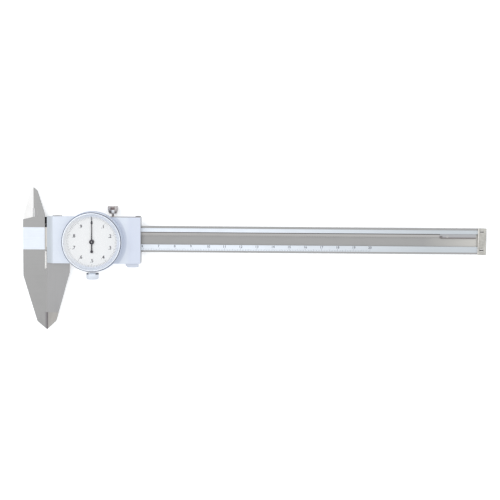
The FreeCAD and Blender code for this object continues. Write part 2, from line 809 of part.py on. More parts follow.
def make_gib_strip():
    """The strip that the gib screws press to the beam's upper edge."""
    body = piece("gib_strip")
    strip = box_outline(sketch_on(body, "XY_Plane", "edge_bottom + edge_gap"),
                        "slider_left + gib_inset", "slider_right - gib_inset",
                        "half_beam + gib_gap", "half_beam + gib_gap + gib_thick")
    pad(strip, "edge_thick - 2 * edge_gap")
    return body


def lying_piece(label, x, y, z):
    """A body whose own Z axis points along +Y, out of the slider's upper wall."""
    body = piece(label)
    seat(body, x, y, z)
    body.Placement.Rotation = Rotation(Vector(1, 0, 0), -90)
    return body


def make_gib_screws():
    """Two slotted set screws, tips on the gib strip."""
    body = lying_piece("gib_screws", "0", "half_beam + gib_gap + gib_thick", "edge_middle")
    length = "wall_top - half_beam - gib_gap - gib_thick"
    places = [(x, "0") for x in gib_screw_x()]
    pad(few_sided(sketch_on(body, "XY_Plane"), places, "gib_screw_radius"), length)
    slots = sketch_on(body, "XY_Plane", length)
    for x, y in places:
        box_outline(slots, f"{x} - gib_screw_radius - 0.1", f"{x} + gib_screw_radius + 0.1", "-0.15",
                    "0.15")
    pocket(slots, "0.6")
    return body


def make_lock_pad():
    """The small brass pad between the lock screw and the gib strip."""
    body = lying_piece("lock_pad", "lock_x", "half_beam + gib_gap + gib_thick", "edge_middle")
    pad(few_sided(sketch_on(body, "XY_Plane"), [("0", "0")], "lock_thread_radius"), "lock_pad_thick")
    return body


def make_lock_screw():
    """The thumb screw on the slider's upper edge: threaded stem, neck and flared head."""
    body = lying_piece("lock_screw", "lock_x", "lock_tip", "edge_middle")
    neck = "wall_top + lock_collar - lock_tip"
    knob = f"{neck} + lock_knob_height"
    stem = few_sided(sketch_on(body, "XY_Plane"), [("0", "0")], "lock_thread_radius * cos(22.5)")
    pad(stem, neck)
    revolve(body, [
        ("0", neck),
        ("lock_neck_radius", neck),
        ("lock_knob_radius", f"{knob} - 2.2"),
        ("lock_knob_radius", knob),
        ("0", knob),
    ])
    return body


def make_back_plate():
    """The plate that closes the slider round the beam; the caliper rests on it."""
    body = piece("back_plate")
    plate = box_outline(sketch_on(body, "XY_Plane"), "slider_left", "slider_right", "-wall_bottom",
                        "wall_top")
    pad(plate, "back_thick")
    corners = [(x, y) for x in ("slider_left", "slider_right") for y in ("-wall_bottom", "wall_top")]
    round_edges(body, "back_corner", upright_at(*corners), chamfer=True)
    bores = few_sided(sketch_on(body, "XY_Plane"), plate_screw_places(), "screw_radius + screw_gap")
    pocket(bores, "back_thick", upward=True)
    heads = few_sided(sketch_on(body, "XY_Plane"), plate_screw_places(),
                      "2 * screw_radius + screw_gap")
    pocket(heads, "back_thick / 2", upward=True)
    bores = few_sided(sketch_on(body, "XY_Plane"), rivet_places(), "rivet_radius")
    pocket(bores, "back_thick", upward=True)
    return body


def make_back_plate_screws():
    """Four slotted screws, heads sunk in the back plate and pointing up into the walls."""
    body = piece("back_plate_screws")
    heads = few_sided(sketch_on(body, "XY_Plane", "screw_gap"), plate_screw_places(),
                      "2 * screw_radius")
    pad(heads, "back_thick / 2 - screw_gap")
    shanks = few_sided(sketch_on(body, "XY_Plane", "back_thick / 2"), plate_screw_places(),
                       "screw_radius")
    pad(shanks, "back_thick / 2 + edge_thick - 0.6")
    slots = sketch_on(body, "XY_Plane", "screw_gap")
    for x, y in plate_screw_places():
        box_outline(slots, f"{x} - 2.2 * screw_radius", f"{x} + 2.2 * screw_radius",
                    f"{y} - 0.18", f"{y} + 0.18")
    pocket(slots, "0.3", upward=True)
    return body


def rivet_places():
    """Two rivets on the beam's centre line hold the depth rod to the back plate."""
    middle = "rod_left + rod_foot_length / 2"
    return [(f"{middle} - rivet_spacing / 2", "0"), (f"{middle} + rivet_spacing / 2", "0")]


def make_depth_rod():
    """The flat rod in the rear groove, flush with the beam's end when the jaws are closed."""
    body = piece("depth_rod")
    rod = box_outline(sketch_on(body, "XY_Plane", "rod_bottom"), "rod_left", "beam_end",
                      "-rod_half", "rod_half")
    pad(rod, "rod_thick")
    foot = box_outline(sketch_on(body, "XY_Plane", "back_thick"), "rod_left",
                       "rod_left + rod_foot_length", "-rod_half", "rod_half")
    pad(foot, "rod_bottom + rod_thick / 2 - back_thick")
    step = box_outline(sketch_on(body, "XY_Plane", "rod_bottom"), "beam_end - rod_step_length",
                       "beam_end + 1", "0", "rod_half + 1")
    pocket(step, "rod_thick", upward=True)
    bores = few_sided(sketch_on(body, "XY_Plane", "back_thick"), rivet_places(), "rivet_radius")
    pocket(bores, "rod_bottom + rod_thick / 2 - back_thick", upward=True)
    return body


def make_rod_rivets():
    """Flush rivets through the back plate into the depth rod's foot."""
    body = piece("rod_rivets")
    rivets = few_sided(sketch_on(body, "XY_Plane"), rivet_places(), "rivet_radius")
    pad(rivets, "rod_bottom + rod_thick / 2")
    return body


def make_front_cover():
    """The pale cover: a cap over the frame's web, bevelled at the jaws, with a thumb lug."""
    body = piece("front_cover")
    blank = box_outline(sketch_on(body, "XY_Plane", "wall_rise"), "slider_left", "slider_right",
                        "cover_south", "cover_north")
    pad(blank, "cover_top - wall_rise")
    bevel = outline(sketch_on(body, "XZ_Plane", "-cover_north - 1"), [
        ("slider_left - 1", "wall_rise + cover_bevel_foot"),
        ("slider_left", "wall_rise + cover_bevel_foot"),
        ("slider_left + cover_bevel_run", "cover_top"),
        ("slider_left + cover_bevel_run", "cover_top + 1"),
        ("slider_left - 1", "cover_top + 1"),
    ])
    pocket(bevel, "cover_north - cover_south + 2", upward=True)
    round_edges(body, "cover_corner", upright_at(("slider_right", "cover_north"),
                                                 ("slider_right", "cover_south")))
    lug = box_outline(sketch_on(body, "XY_Plane", "cover_top - lug_drop - lug_height"),
                      "slider_right - lug_inset - lug_length", "slider_right - lug_inset",
                      "cover_south - lug_width", "cover_south + cover_wall / 4")
    pad(lug, "lug_height")
    round_edges(body, "lug_width * 0.9",
                upright_at(("slider_right - lug_inset - lug_length", "cover_south - lug_width")))
    cavity = box_outline(sketch_on(body, "XY_Plane", "wall_rise"), *web_edges("0"))
    pocket(cavity, "roof_bottom - wall_rise", upward=True)
    bosses = few_sided(sketch_on(body, "XY_Plane", "web_top"),
                       on_dial("case_screw_ring", CASE_SCREW_ANGLES), "boss_radius")
    pad(bosses, "roof_bottom - web_top")
    bores = few_sided(sketch_on(body, "XY_Plane", "cover_top"),
                      on_dial("case_screw_ring", CASE_SCREW_ANGLES), "screw_radius + screw_gap")
    pocket(bores, "cover_top - web_top")
    arbor_bore = few_sided(sketch_on(body, "XY_Plane", "cover_top"), [("arbor_x", "arbor_y")],
                           "bush_radius + 0.3")
    pocket(arbor_bore, "cover_roof")
    return body


# Dial case, bezel and clamp

def make_dial_case():
    """The round case on the cover: floor, stepped wall that the bezel turns on, clamp lug."""
    body = piece("dial_case")
    seat(body, "dial_x", "dial_y")
    wall = "rim_outer - case_wall / 2"
    revolve(body, [
        ("0", "cover_top"),
        ("case_radius", "cover_top"),
        ("case_radius", "step_top"),
        (wall, "step_top"),
        (wall, "floor_top"),
        ("0", "floor_top"),
    ])
    rim = few_sided(sketch_on(body, "XY_Plane", "floor_top"), [("0", "0")], "rim_outer * cos(3.75)", 48)
    few_sided(rim, [("0", "0")], "rim_inner * cos(3.75)", 48)
    pad(rim, "case_rim - floor_top")
    lug = box_outline(sketch_on(body, "XY_Plane", "cover_top"), "-clamp_lug_half", "clamp_lug_half",
                      "-clamp_lug_end", "-rim_inner - case_wall / 2")
    pad(lug, "case_step")
    screw_bore = few_sided(sketch_on(body, "XZ_Plane", "rim_inner + case_wall / 2"),
                           [("0", "clamp_z")], "clamp_screw_radius + screw_gap")
    pocket(screw_bore, "clamp_lug_end", upward=True)
    pin_bore = few_sided(sketch_on(body, "XY_Plane", "step_top"), [("0", "-clamp_pin_ring")],
                         "clamp_pin_radius + screw_gap")
    pocket(pin_bore, "step_top - clamp_z")
    screws = [(f"case_screw_ring * cos({a})", f"case_screw_ring * sin({a})") for a in CASE_SCREW_ANGLES]
    bores = few_sided(sketch_on(body, "XY_Plane", "floor_top"), screws, "screw_radius + screw_gap")
    pocket(bores, "case_floor")
    heads = few_sided(sketch_on(body, "XY_Plane", "floor_top"), screws,
                      "2 * screw_radius + screw_gap")
    pocket(heads, "case_floor / 2")
    arbor_bore = few_sided(sketch_on(body, "XY_Plane", "floor_top"), [("arbor_run", "arbor_rise")],
                           "bush_radius + 0.3")
    pocket(arbor_bore, "case_floor")
    threads = [(f"movement_ring * cos({a})", f"movement_ring * sin({a})") for a in MOVEMENT_ANGLES]
    bores = few_sided(sketch_on(body, "XY_Plane", "floor_top"), threads,
                      "rack_screw_radius + screw_gap")
    pocket(bores, "case_floor")
    return body


def ring_body(label, profile):
    """A turned piece about the dial's axis, from (radius, height) corners."""
    body = piece(label)
    seat(body, "dial_x", "dial_y")
    revolve(body, profile)
    return body


def make_bezel():
    """The turning ring: skirt over the case, seat for the crystal and a chamfered lip."""
    return ring_body("bezel", [
        ("skirt_inner", "bezel_bottom"),
        ("bezel_radius", "bezel_bottom"),
        ("bezel_radius", "bezel_top - bezel_edge"),
        ("bezel_radius - bezel_edge", "bezel_top"),
        ("bezel_opening", "bezel_top"),
        ("bezel_opening", "crystal_top"),
        ("skirt_inner", "crystal_top"),
    ])


def make_retaining_ring():
    """The bent spring ring between rim and bezel: its corners press outward, its flats inward."""
    outer = "skirt_inner - edge_gap"
    return open_ring("retaining_ring", f"{outer} - ring_thick", outer, "ring_height", 24, 1,
                     "dial_x", "dial_y", "ring_bottom")


def make_crystal():
    """The clear cover over the dial."""
    body = piece("crystal")
    seat(body, "dial_x", "dial_y")
    disc = few_sided(sketch_on(body, "XY_Plane", "crystal_bottom"), [("0", "0")],
                     "inlay_radius * cos(3.75)", 48)
    pad(disc, "crystal_thick")
    return body


def make_dial_face():
    """The white dial plate, carried by the bezel so that zero can be set."""
    body = piece("dial_face")
    seat(body, "dial_x", "dial_y")
    disc = few_sided(sketch_on(body, "XY_Plane", "dial_bottom"), [("0", "0")],
                     "inlay_radius * cos(3.75)", 48)
    pad(disc, "dial_thick")
    hole = few_sided(sketch_on(body, "XY_Plane", "dial_top"), [("0", "0")], "dial_hole", 12)
    pocket(hole, "dial_thick")
    return body


def make_spacer_ring():
    """The sloped ring that holds the crystal above the dial face and frames the scale."""
    low = number("dial_top")
    high = number("crystal_bottom")
    sides = 36
    flats = math.cos(math.pi / sides)
    outer = number("inlay_radius")
    wires = []
    for radius, level in ((number("spacer_inner"), low), (outer - number("spacer_top"), high)):
        corners = [Vector(x, y, level) for x, y in ring_points(radius * flats, sides)]
        wires.append(Part.makePolygon(corners + corners[:1]))
    ring = prism(ring_points(outer * flats, sides), low, high).cut(Part.makeLoft(wires, True, True))
    return plain_feature("dial_spacer_ring", ring, "dial_x", "dial_y")


def make_clamp_screw():
    """The thumb screw below the dial: cone tip, stem and round knob."""
    body = piece("bezel_clamp_screw")
    seat(body, "dial_x", "dial_y", "clamp_z")
    body.Placement.Rotation = Rotation(Vector(1, 0, 0), 90)
    tip = "rim_inner + case_wall / 2 + 0.1"
    shank = "clamp_screw_radius"
    knob = "clamp_knob_radius"
    near = "clamp_knob_top"
    far = "clamp_knob_top + clamp_knob_length"
    revolve(body, [
        ("0", tip),
        (f"{shank} - 0.5", tip),
        (shank, f"{tip} + 1.2"),
        (shank, near),
        (knob, near),
        (knob, f"{far} - 0.6"),
        (f"{knob} - 0.6", far),
        ("0", far),
    ])
    return body


def make_clamp_pin():
    """The pin that the screw's cone lifts to the bezel's lower rim."""
    body = piece("bezel_clamp_pin")
    seat(body, "dial_x", "dial_y")
    pin = few_sided(sketch_on(body, "XY_Plane", "clamp_z + clamp_screw_radius + edge_gap"),
                    [("0", "-clamp_pin_ring")], "clamp_pin_radius")
    pad(pin, "step_top + edge_gap - clamp_z - clamp_screw_radius - edge_gap")
    return body


# Movement under the dial

def make_main_plate():
    """The movement's lower plate on the floor of the case."""
    body = piece("main_plate")
    seat(body, "dial_x", "dial_y")
    disc = few_sided(sketch_on(body, "XY_Plane", "floor_top"), [("0", "0")],
                     "plate_radius * cos(15)", 12)
    pad(disc, "main_thick")
    return pierce_plate(body, "main_top", "main_thick", "movement_ring", MOVEMENT_ANGLES)


def make_bridge_plate():
    """The upper plate on three pillars."""
    body = piece("bridge_plate")
    seat(body, "dial_x", "dial_y")
    disc = few_sided(sketch_on(body, "XY_Plane", "bridge_bottom"), [("0", "0")],
                     "bridge_radius * cos(15)", 12)
    pad(disc, "bridge_thick")
    return pierce_plate(body, "bridge_top", "bridge_thick", "pillar_ring", PILLAR_ANGLES)


def pierce_plate(body, top, thick, ring, angles):
    """Bore a movement plate for its two bushes and its screws."""
    bushes = few_sided(sketch_on(body, "XY_Plane", top), [("0", "0"), ("arbor_run", "arbor_rise")],
                       "bush_radius")
    pocket(bushes, thick)
    places = [(f"{ring} * cos({a})", f"{ring} * sin({a})") for a in angles]
    bores = few_sided(sketch_on(body, "XY_Plane", top), places, "rack_screw_radius + screw_gap")
    pocket(bores, thick)
    return body


def make_pillars():
    """Three pillars between the plates, bored for the bridge screws."""
    body = piece("bridge_pillars")
    seat(body, "dial_x", "dial_y")
    places = [(f"pillar_ring * cos({a})", f"pillar_ring * sin({a})") for a in PILLAR_ANGLES]
    pad(few_sided(sketch_on(body, "XY_Plane", "main_top"), places, "pillar_radius"), "gear_room")
    bores = few_sided(sketch_on(body, "XY_Plane", "bridge_bottom"), places,
                      "rack_screw_radius + screw_gap")
    pocket(bores, "gear_room * 0.7")
    return body


def make_bushes():
    """Five brass bushes: two in each plate and one in the frame's web."""
    body = piece("pivot_bushes")
    levels = [
        ("floor_top", "main_thick", [("dial_x", "dial_y"), ("arbor_x", "arbor_y")]),
        ("bridge_bottom", "bridge_thick", [("dial_x", "dial_y"), ("arbor_x", "arbor_y")]),
        ("web_bottom", "web_thick", [("arbor_x", "arbor_y")]),
    ]
    for bottom, thick, places in levels:
        pad(few_sided(sketch_on(body, "XY_Plane", bottom), places, "bush_radius"), thick)
    for bottom, thick, places in levels:
        for x, y in places:
            bore = "hub_bore" if x == "dial_x" else "arbor_radius"
            hole = few_sided(sketch_on(body, "XY_Plane", f"{bottom} + {thick}"), [(x, y)],
                             f"{bore} + pivot_gap")
            pocket(hole, thick)
    return body


# Needle

def make_needle():
    """The hand: a long tapered blade, a round boss and a tail with a disc."""
    long = number("needle_length")
    tail = number("needle_tail")
    half = number("needle_width") / 2
    low = number("needle_z")
    high = low + number("needle_thick")
    blade = prism([(-half, -tail), (half, -tail), (half, 0), (half * 0.45, long), (-half * 0.45, long),
                   (-half, 0)], low, high)
    boss = prism(ring_points(number("hub_radius"), 24), low, high)
    disc = prism(ring_points(number("needle_disc"), 16, 0, number("needle_disc") - tail), low, high)
    hand = blade.fuse([boss, disc]).removeSplitter()
    hand = hand.cut(prism(ring_points(number("hub_bore * 2"), 12), low, high))
    return plain_feature("needle", hand, "dial_x", "dial_y")


def make_needle_hub():
    """The collet that grips the centre arbor and carries the hand."""
    body = piece("needle_hub")
    seat(body, "dial_x", "dial_y")
    flange = few_sided(sketch_on(body, "XY_Plane", "needle_z - 0.25"), [("0", "0")], "hub_radius", 24)
    pad(flange, "0.25")
    neck = few_sided(sketch_on(body, "XY_Plane", "needle_z"), [("0", "0")], "hub_bore * 2", 12)
    pad(neck, "0.5")
    bore = few_sided(sketch_on(body, "XY_Plane", "needle_z + 0.5"), [("0", "0")], "hub_bore", 12)
    pocket(bore, "0.75")
    return body


PARTS = [
    make_beam(),
    make_rack(),
    slotted_screws("rack_screws", rack_screw_places(), "rack_screw_radius", "rack_screw_radius + 0.3",
                   "groove_floor - 0.6", "rack_top", "land_top - edge_gap", sides=12),
    make_end_stop(),
    slotted_screws("end_stop_screws", stop_screw_places(), "stop_screw_radius",
                   "2 * stop_screw_radius - screw_gap", "edge_bottom + 0.5",
                   "land_top + stop_thick / 2", "land_top + stop_thick", sides=12),
    make_slider_frame(),
    make_gib_strip(),
    make_gib_screws(),
    make_lock_pad(),
    make_lock_screw(),
    make_back_plate(),
    make_back_plate_screws(),
    make_depth_rod(),
    make_rod_rivets(),
    make_front_cover(),
    make_dial_case(),
    slotted_screws("case_screws", on_dial("case_screw_ring", CASE_SCREW_ANGLES), "screw_radius",
                   "2 * screw_radius", "web_bottom + edge_gap", "floor_top - case_floor / 2",
                   "floor_top - edge_gap"),
    make_main_plate(),
    slotted_screws("movement_screws", on_dial("movement_ring", MOVEMENT_ANGLES),
                   "rack_screw_radius", "2 * rack_screw_radius", "floor_top - case_floor + edge_gap",
                   "main_top", "main_top + 0.5"),
    make_pillars(),
    make_bridge_plate(),
    slotted_screws("bridge_screws", on_dial("pillar_ring", PILLAR_ANGLES), "rack_screw_radius",
                   "2 * rack_screw_radius", "main_top + gear_room * 0.4", "bridge_top",
                   "bridge_top + 0.5"),
    make_bushes(),
    make_retaining_ring(),
    make_clamp_pin(),
    make_clamp_screw(),
    make_bezel(),
    make_crystal(),
    make_spacer_ring(),
    make_dial_face(),
    make_drive_arbor(),
    make_drive_gear(),
    make_scissor_gear(),
    make_scissor_spring(),
    make_centre_arbor(),
    make_needle_hub(),
    make_needle(),
]

doc.recompute()

for thing in doc.Objects:
    if {"Invalid", "Error"} & set(thing.State):
        raise RuntimeError(f"{thing.Label} did not build: {thing.State}")
    if thing.TypeId == "PartDesign::Pocket":
        if thing.Shape.Volume > thing.BaseFeature.Shape.Volume - 1e-6:
            raise RuntimeError(f"{thing.Label} cuts nothing")

os.makedirs("parts", exist_ok=True)
for part in PARTS:
    if part.Shape.isNull() or not part.Shape.isValid():
        raise RuntimeError(f"{part.Label} has no sound shape")
    part.Shape.exportStep(f"parts/{part.Label}.step")
    print(f"{part.Label}: {len(part.Shape.Solids)} solids, {part.Shape.Volume:.2f} mm3")
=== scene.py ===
"""The look of a 200 mm dial caliper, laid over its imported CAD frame.

Lengths in the classes are millimetres in the caliper's own layout: x = 0 on the line where the
jaws meet, y = 0 in the middle of the beam and z = 0 under the slider's back plate. A finished
mesh is shifted so that the dial's axis stands over the origin, and turned into metres.
"""
import logging
import math
from dataclasses import dataclass
from enum import Enum
from functools import cache
from typing import Iterable, Sequence

import bmesh
import bpy
from mathutils import Matrix, Vector


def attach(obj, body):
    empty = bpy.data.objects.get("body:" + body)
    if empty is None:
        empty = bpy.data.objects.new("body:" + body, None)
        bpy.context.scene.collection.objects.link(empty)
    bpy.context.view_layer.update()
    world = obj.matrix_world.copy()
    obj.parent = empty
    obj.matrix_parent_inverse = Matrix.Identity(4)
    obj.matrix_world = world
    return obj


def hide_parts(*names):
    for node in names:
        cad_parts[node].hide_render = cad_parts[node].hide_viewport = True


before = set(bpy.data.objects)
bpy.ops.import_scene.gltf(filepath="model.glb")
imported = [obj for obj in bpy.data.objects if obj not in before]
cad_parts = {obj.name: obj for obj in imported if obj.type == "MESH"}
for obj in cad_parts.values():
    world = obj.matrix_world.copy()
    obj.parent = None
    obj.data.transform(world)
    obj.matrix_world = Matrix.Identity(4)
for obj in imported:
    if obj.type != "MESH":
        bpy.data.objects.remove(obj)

LOG = logging.getLogger("dial_caliper")
DIAL_X = 29.0
DIAL_Y = -1.3
TO_ROW = Matrix.Scale(0.001, 4) @ Matrix.Translation((-DIAL_X, -DIAL_Y, 0.0))
TOP_Z = 5.1
FAR = 999.0
SHARP_ANGLE = math.radians(50.0)
STEPS_PER_RIB = 3
CAP_HEIGHT = 0.7
NOISE_LOW = 0.3
NOISE_HIGH = 0.7
TONE_LIFT = 0.6

Corner = tuple[float, float]
Spot = tuple[float, float, float]
Box = tuple[Spot, Spot]


def linear(red: int, green: int, blue: int) -> tuple[float, float, float, float]:
    """Turn a display colour into the linear one that a shader takes.

    Args:
        red: Red from 0 to 255.
        green: Green from 0 to 255.
        blue: Blue from 0 to 255.

    Returns:
        The linear colour with an alpha of 1.
    """
    def lift(level: int) -> float:
        """Undo the display curve on one channel."""
        share = level / 255
        return share / 12.92 if share <= 0.04045 else ((share + 0.055) / 1.055) ** 2.4
    return lift(red), lift(green), lift(blue), 1.0


# Finishes


class Grain(Enum):
    """How a surface was worked, as the stretch of its noise along x, y and z."""

    ALONG_X = (0.02, 1.0, 1.0)
    ALONG_Y = (1.0, 0.02, 1.0)
    BLASTED = (1.0, 1.0, 1.0)
    MOULDED = (0.6, 0.6, 0.6)


class NodeSheet:
    """A short way to add nodes and links to a material or an effect group."""

    def __init__(self, tree: bpy.types.NodeTree) -> None:
        """Start on a tree.

        Args:
            tree: The node tree to draw on.
        """
        self.tree = tree

    def add(self, kind: str, **settings: object) -> bpy.types.Node:
        """Add one node.

        Args:
            kind: The node's type name.
            settings: Values for its own properties.

        Returns:
            The new node.
        """
        node = self.tree.nodes.new(kind)
        for name, value in settings.items():
            setattr(node, name, value)
        return node

    def join(self, source: bpy.types.NodeSocket, target: bpy.types.NodeSocket) -> None:
        """Link an output to an input."""
        self.tree.links.new(source, target)

    def math(self, operation: str, first: bpy.types.NodeSocket | float,
             second: bpy.types.NodeSocket | float = 0.0) -> bpy.types.NodeSocket:
        """Add a Math node.

        Args:
            operation: What it does.
            first: Its first input, a socket or a number.
            second: Its second input, a socket or a number.

        Returns:
            The result.
        """
        node = self.add("ShaderNodeMath", operation=operation)
        for slot, value in zip(node.inputs, (first, second)):
            if isinstance(value, (int, float)):
                slot.default_value = value
            else:
                self.join(value, slot)
        return node.outputs[0]

    def blend(self, mask: bpy.types.NodeSocket, first: bpy.types.Node, second: bpy.types.Node,
              end: str) -> None:
        """Mix two shaders by a mask and join them to the tree's output.

        Args:
            mask: 0 for the first shader and 1 for the second.
            first: The first shader.
            second: The second shader.
            end: The output node's name.
        """
        mix = self.add("ShaderNodeMixShader")
        for source, slot in zip((mask, first.outputs[0], second.outputs[0]), mix.inputs):
            self.join(source, slot)
        self.join(mix.outputs[0], self.tree.nodes[end].inputs["Surface"])

    def white_rays(self) -> bpy.types.NodeSocket:
        """1 for camera, glossy and transmission rays, which see the background as white."""
        path = self.add("ShaderNodeLightPath")
        return self.math("MAXIMUM", path.outputs["Is Camera Ray"],
                         self.math("MAXIMUM", path.outputs["Is Glossy Ray"],
                                   path.outputs["Is Transmission Ray"]))


class Effect:
    """An effect group: it gives out masks and normals, and never a shader."""

    def __init__(self, name: str, gives: dict[str, str], takes: dict[str, tuple[str, float]]) -> None:
        """Make the group with its sockets.

        Args:
            name: The group's name.
            gives: Output names and their socket types.
            takes: Input names with their socket types and default values.
        """
        self.group = bpy.data.node_groups.new(name, "ShaderNodeTree")
        for label, kind in gives.items():
            self.group.interface.new_socket(label, in_out="OUTPUT", socket_type=kind)
        for label, (kind, value) in takes.items():
            socket = self.group.interface.new_socket(label, in_out="INPUT", socket_type=kind)
            if kind == "NodeSocketFloat":
                socket.default_value = value
        self.sheet = NodeSheet(self.group)
        self.entry = self.sheet.add("NodeGroupInput")
        self.exit = self.sheet.add("NodeGroupOutput")


@cache
def worked_surface() -> bpy.types.NodeTree:
    """Fine grain, soft mottling and rubbed patches for any metal or moulded surface.

    Returns:
        A group that takes Object coordinates and gives Grain, Mottle and Normal.
    """
    effect = Effect("worked_surface",
                    {"Grain": "NodeSocketFloat", "Mottle": "NodeSocketFloat",
                     "Normal": "NodeSocketVector"},
                    {"Place": ("NodeSocketVector", 0.0), "Stretch": ("NodeSocketVector", 0.0),
                     "Fineness": ("NodeSocketFloat", 4000.0), "Relief": ("NodeSocketFloat", 0.1)})
    sheet, entry = effect.sheet, effect.entry
    stretched = sheet.add("ShaderNodeVectorMath", operation="MULTIPLY")
    sheet.join(entry.outputs["Place"], stretched.inputs[0])
    sheet.join(entry.outputs["Stretch"], stretched.inputs[1])
    fine = sheet.add("ShaderNodeTexNoise")
    fine.inputs["Detail"].default_value = 4.0
    fine.inputs["Roughness"].default_value = 0.65
    sheet.join(stretched.outputs[0], fine.inputs["Vector"])
    sheet.join(entry.outputs["Fineness"], fine.inputs["Scale"])
    broad = sheet.add("ShaderNodeTexNoise")
    broad.inputs["Scale"].default_value = 160.0
    broad.inputs["Detail"].default_value = 3.0
    sheet.join(entry.outputs["Place"], broad.inputs["Vector"])
    bump = sheet.add("ShaderNodeBump")
    bump.inputs["Distance"].default_value = 0.00002
    sheet.join(entry.outputs["Relief"], bump.inputs["Strength"])
    sheet.join(fine.outputs["Fac"], bump.inputs["Height"])
    sheet.join(fine.outputs["Fac"], effect.exit.inputs["Grain"])
    sheet.join(broad.outputs["Fac"], effect.exit.inputs["Mottle"])
    sheet.join(bump.outputs["Normal"], effect.exit.inputs["Normal"])
    return effect.group


@cache
def box_mask() -> bpy.types.NodeTree:
    """A soft-edged box, as a mask for places with their own tone or gloss, and for painted shade,
    shadow and highlights.

    Returns:
        A group that takes Object coordinates, the box's corners and its softness, and gives Mask.
    """
    effect = Effect("box_mask", {"Mask": "NodeSocketFloat"},
                    {"Place": ("NodeSocketVector", 0.0), "Low": ("NodeSocketVector", 0.0),
                     "High": ("NodeSocketVector", 0.0), "Soft": ("NodeSocketVector", 0.0)})
    sheet, entry = effect.sheet, effect.entry
    inside = []
    for first, second in (("Place", "Low"), ("High", "Place")):
        gap = sheet.add("ShaderNodeVectorMath", operation="SUBTRACT")
        sheet.join(entry.outputs[first], gap.inputs[0])
        sheet.join(entry.outputs[second], gap.inputs[1])
        inside.append(gap.outputs[0])
    nearest = sheet.add("ShaderNodeVectorMath", operation="MINIMUM")
    sheet.join(inside[0], nearest.inputs[0])
    sheet.join(inside[1], nearest.inputs[1])
    ramp = sheet.add("ShaderNodeVectorMath", operation="DIVIDE")
    sheet.join(nearest.outputs[0], ramp.inputs[0])
    sheet.join(entry.outputs["Soft"], ramp.inputs[1])
    axes = sheet.add("ShaderNodeSeparateXYZ")
    sheet.join(ramp.outputs[0], axes.inputs[0])
    least = sheet.math("MINIMUM", axes.outputs[0],
                       sheet.math("MINIMUM", axes.outputs[1], axes.outputs[2]))
    mask = sheet.add("ShaderNodeMath", operation="ADD", use_clamp=True)
    mask.inputs[1].default_value = 0.5
    sheet.join(least, mask.inputs[0])
    sheet.join(mask.outputs[0], effect.exit.inputs["Mask"])
    return effect.group


@dataclass(frozen=True)
class Patch:
    """A place on a piece in another colour, as a box in the caliper's own layout; most patches paint
    shade, shadow or highlights, a few give the piece's own tone.
    """

    colour: tuple[int, int, int]
    low: Spot
    high: Spot
    soft: Spot = (0.05, 0.05, 0.05)
    metallic: float | None = None
    roughness: float | None = None

    def mask(self, sheet: NodeSheet, place: bpy.types.NodeSocket) -> bpy.types.NodeSocket:
        """Add the box mask with this patch's corners.

        Args:
            sheet: The material's node sheet.
            place: Object coordinates.

        Returns:
            The mask.
        """
        box = sheet.add("ShaderNodeGroup", node_tree=box_mask())
        box.inputs["Low"].default_value = TO_ROW @ Vector(self.low)
        box.inputs["High"].default_value = TO_ROW @ Vector(self.high)
        box.inputs["Soft"].default_value = Vector(self.soft) * 0.001
        sheet.join(place, box.inputs["Place"])
        return box.outputs["Mask"]


@dataclass(frozen=True)
class RingPatch:
    """A ring round the dial's axis in another colour, in millimetres, used here for painted shade and
    painted shadow.
    """

    colour: tuple[int, int, int]
    inner: float
    outer: float
    low: float = -FAR
    high: float = FAR
    soft: float = 0.1
    metallic: float | None = None
    roughness: float | None = None

    def mask(self, sheet: NodeSheet, place: bpy.types.NodeSocket) -> bpy.types.NodeSocket:
        """Put the radius and the height through the box mask.

        Args:
            sheet: The material's node sheet.
            place: Object coordinates.

        Returns:
            The mask.
        """
        flat = sheet.add("ShaderNodeVectorMath", operation="MULTIPLY")
        flat.inputs[1].default_value = (1.0, 1.0, 0.0)
        sheet.join(place, flat.inputs[0])
        radius = sheet.add("ShaderNodeVectorMath", operation="LENGTH")
        sheet.join(flat.outputs[0], radius.inputs[0])
        axes = sheet.add("ShaderNodeSeparateXYZ")
        sheet.join(place, axes.inputs[0])
        section = sheet.add("ShaderNodeCombineXYZ")
        sheet.join(radius.outputs["Value"], section.inputs[0])
        sheet.join(axes.outputs["Z"], section.inputs[2])
        box = sheet.add("ShaderNodeGroup", node_tree=box_mask())
        box.inputs["Low"].default_value = Vector((self.inner, -FAR, self.low)) * 0.001
        box.inputs["High"].default_value = Vector((self.outer, FAR, self.high)) * 0.001
        box.inputs["Soft"].default_value = Vector((self.soft, 1.0, self.soft)) * 0.001
        sheet.join(section.outputs[0], box.inputs["Place"])
        return box.outputs["Mask"]


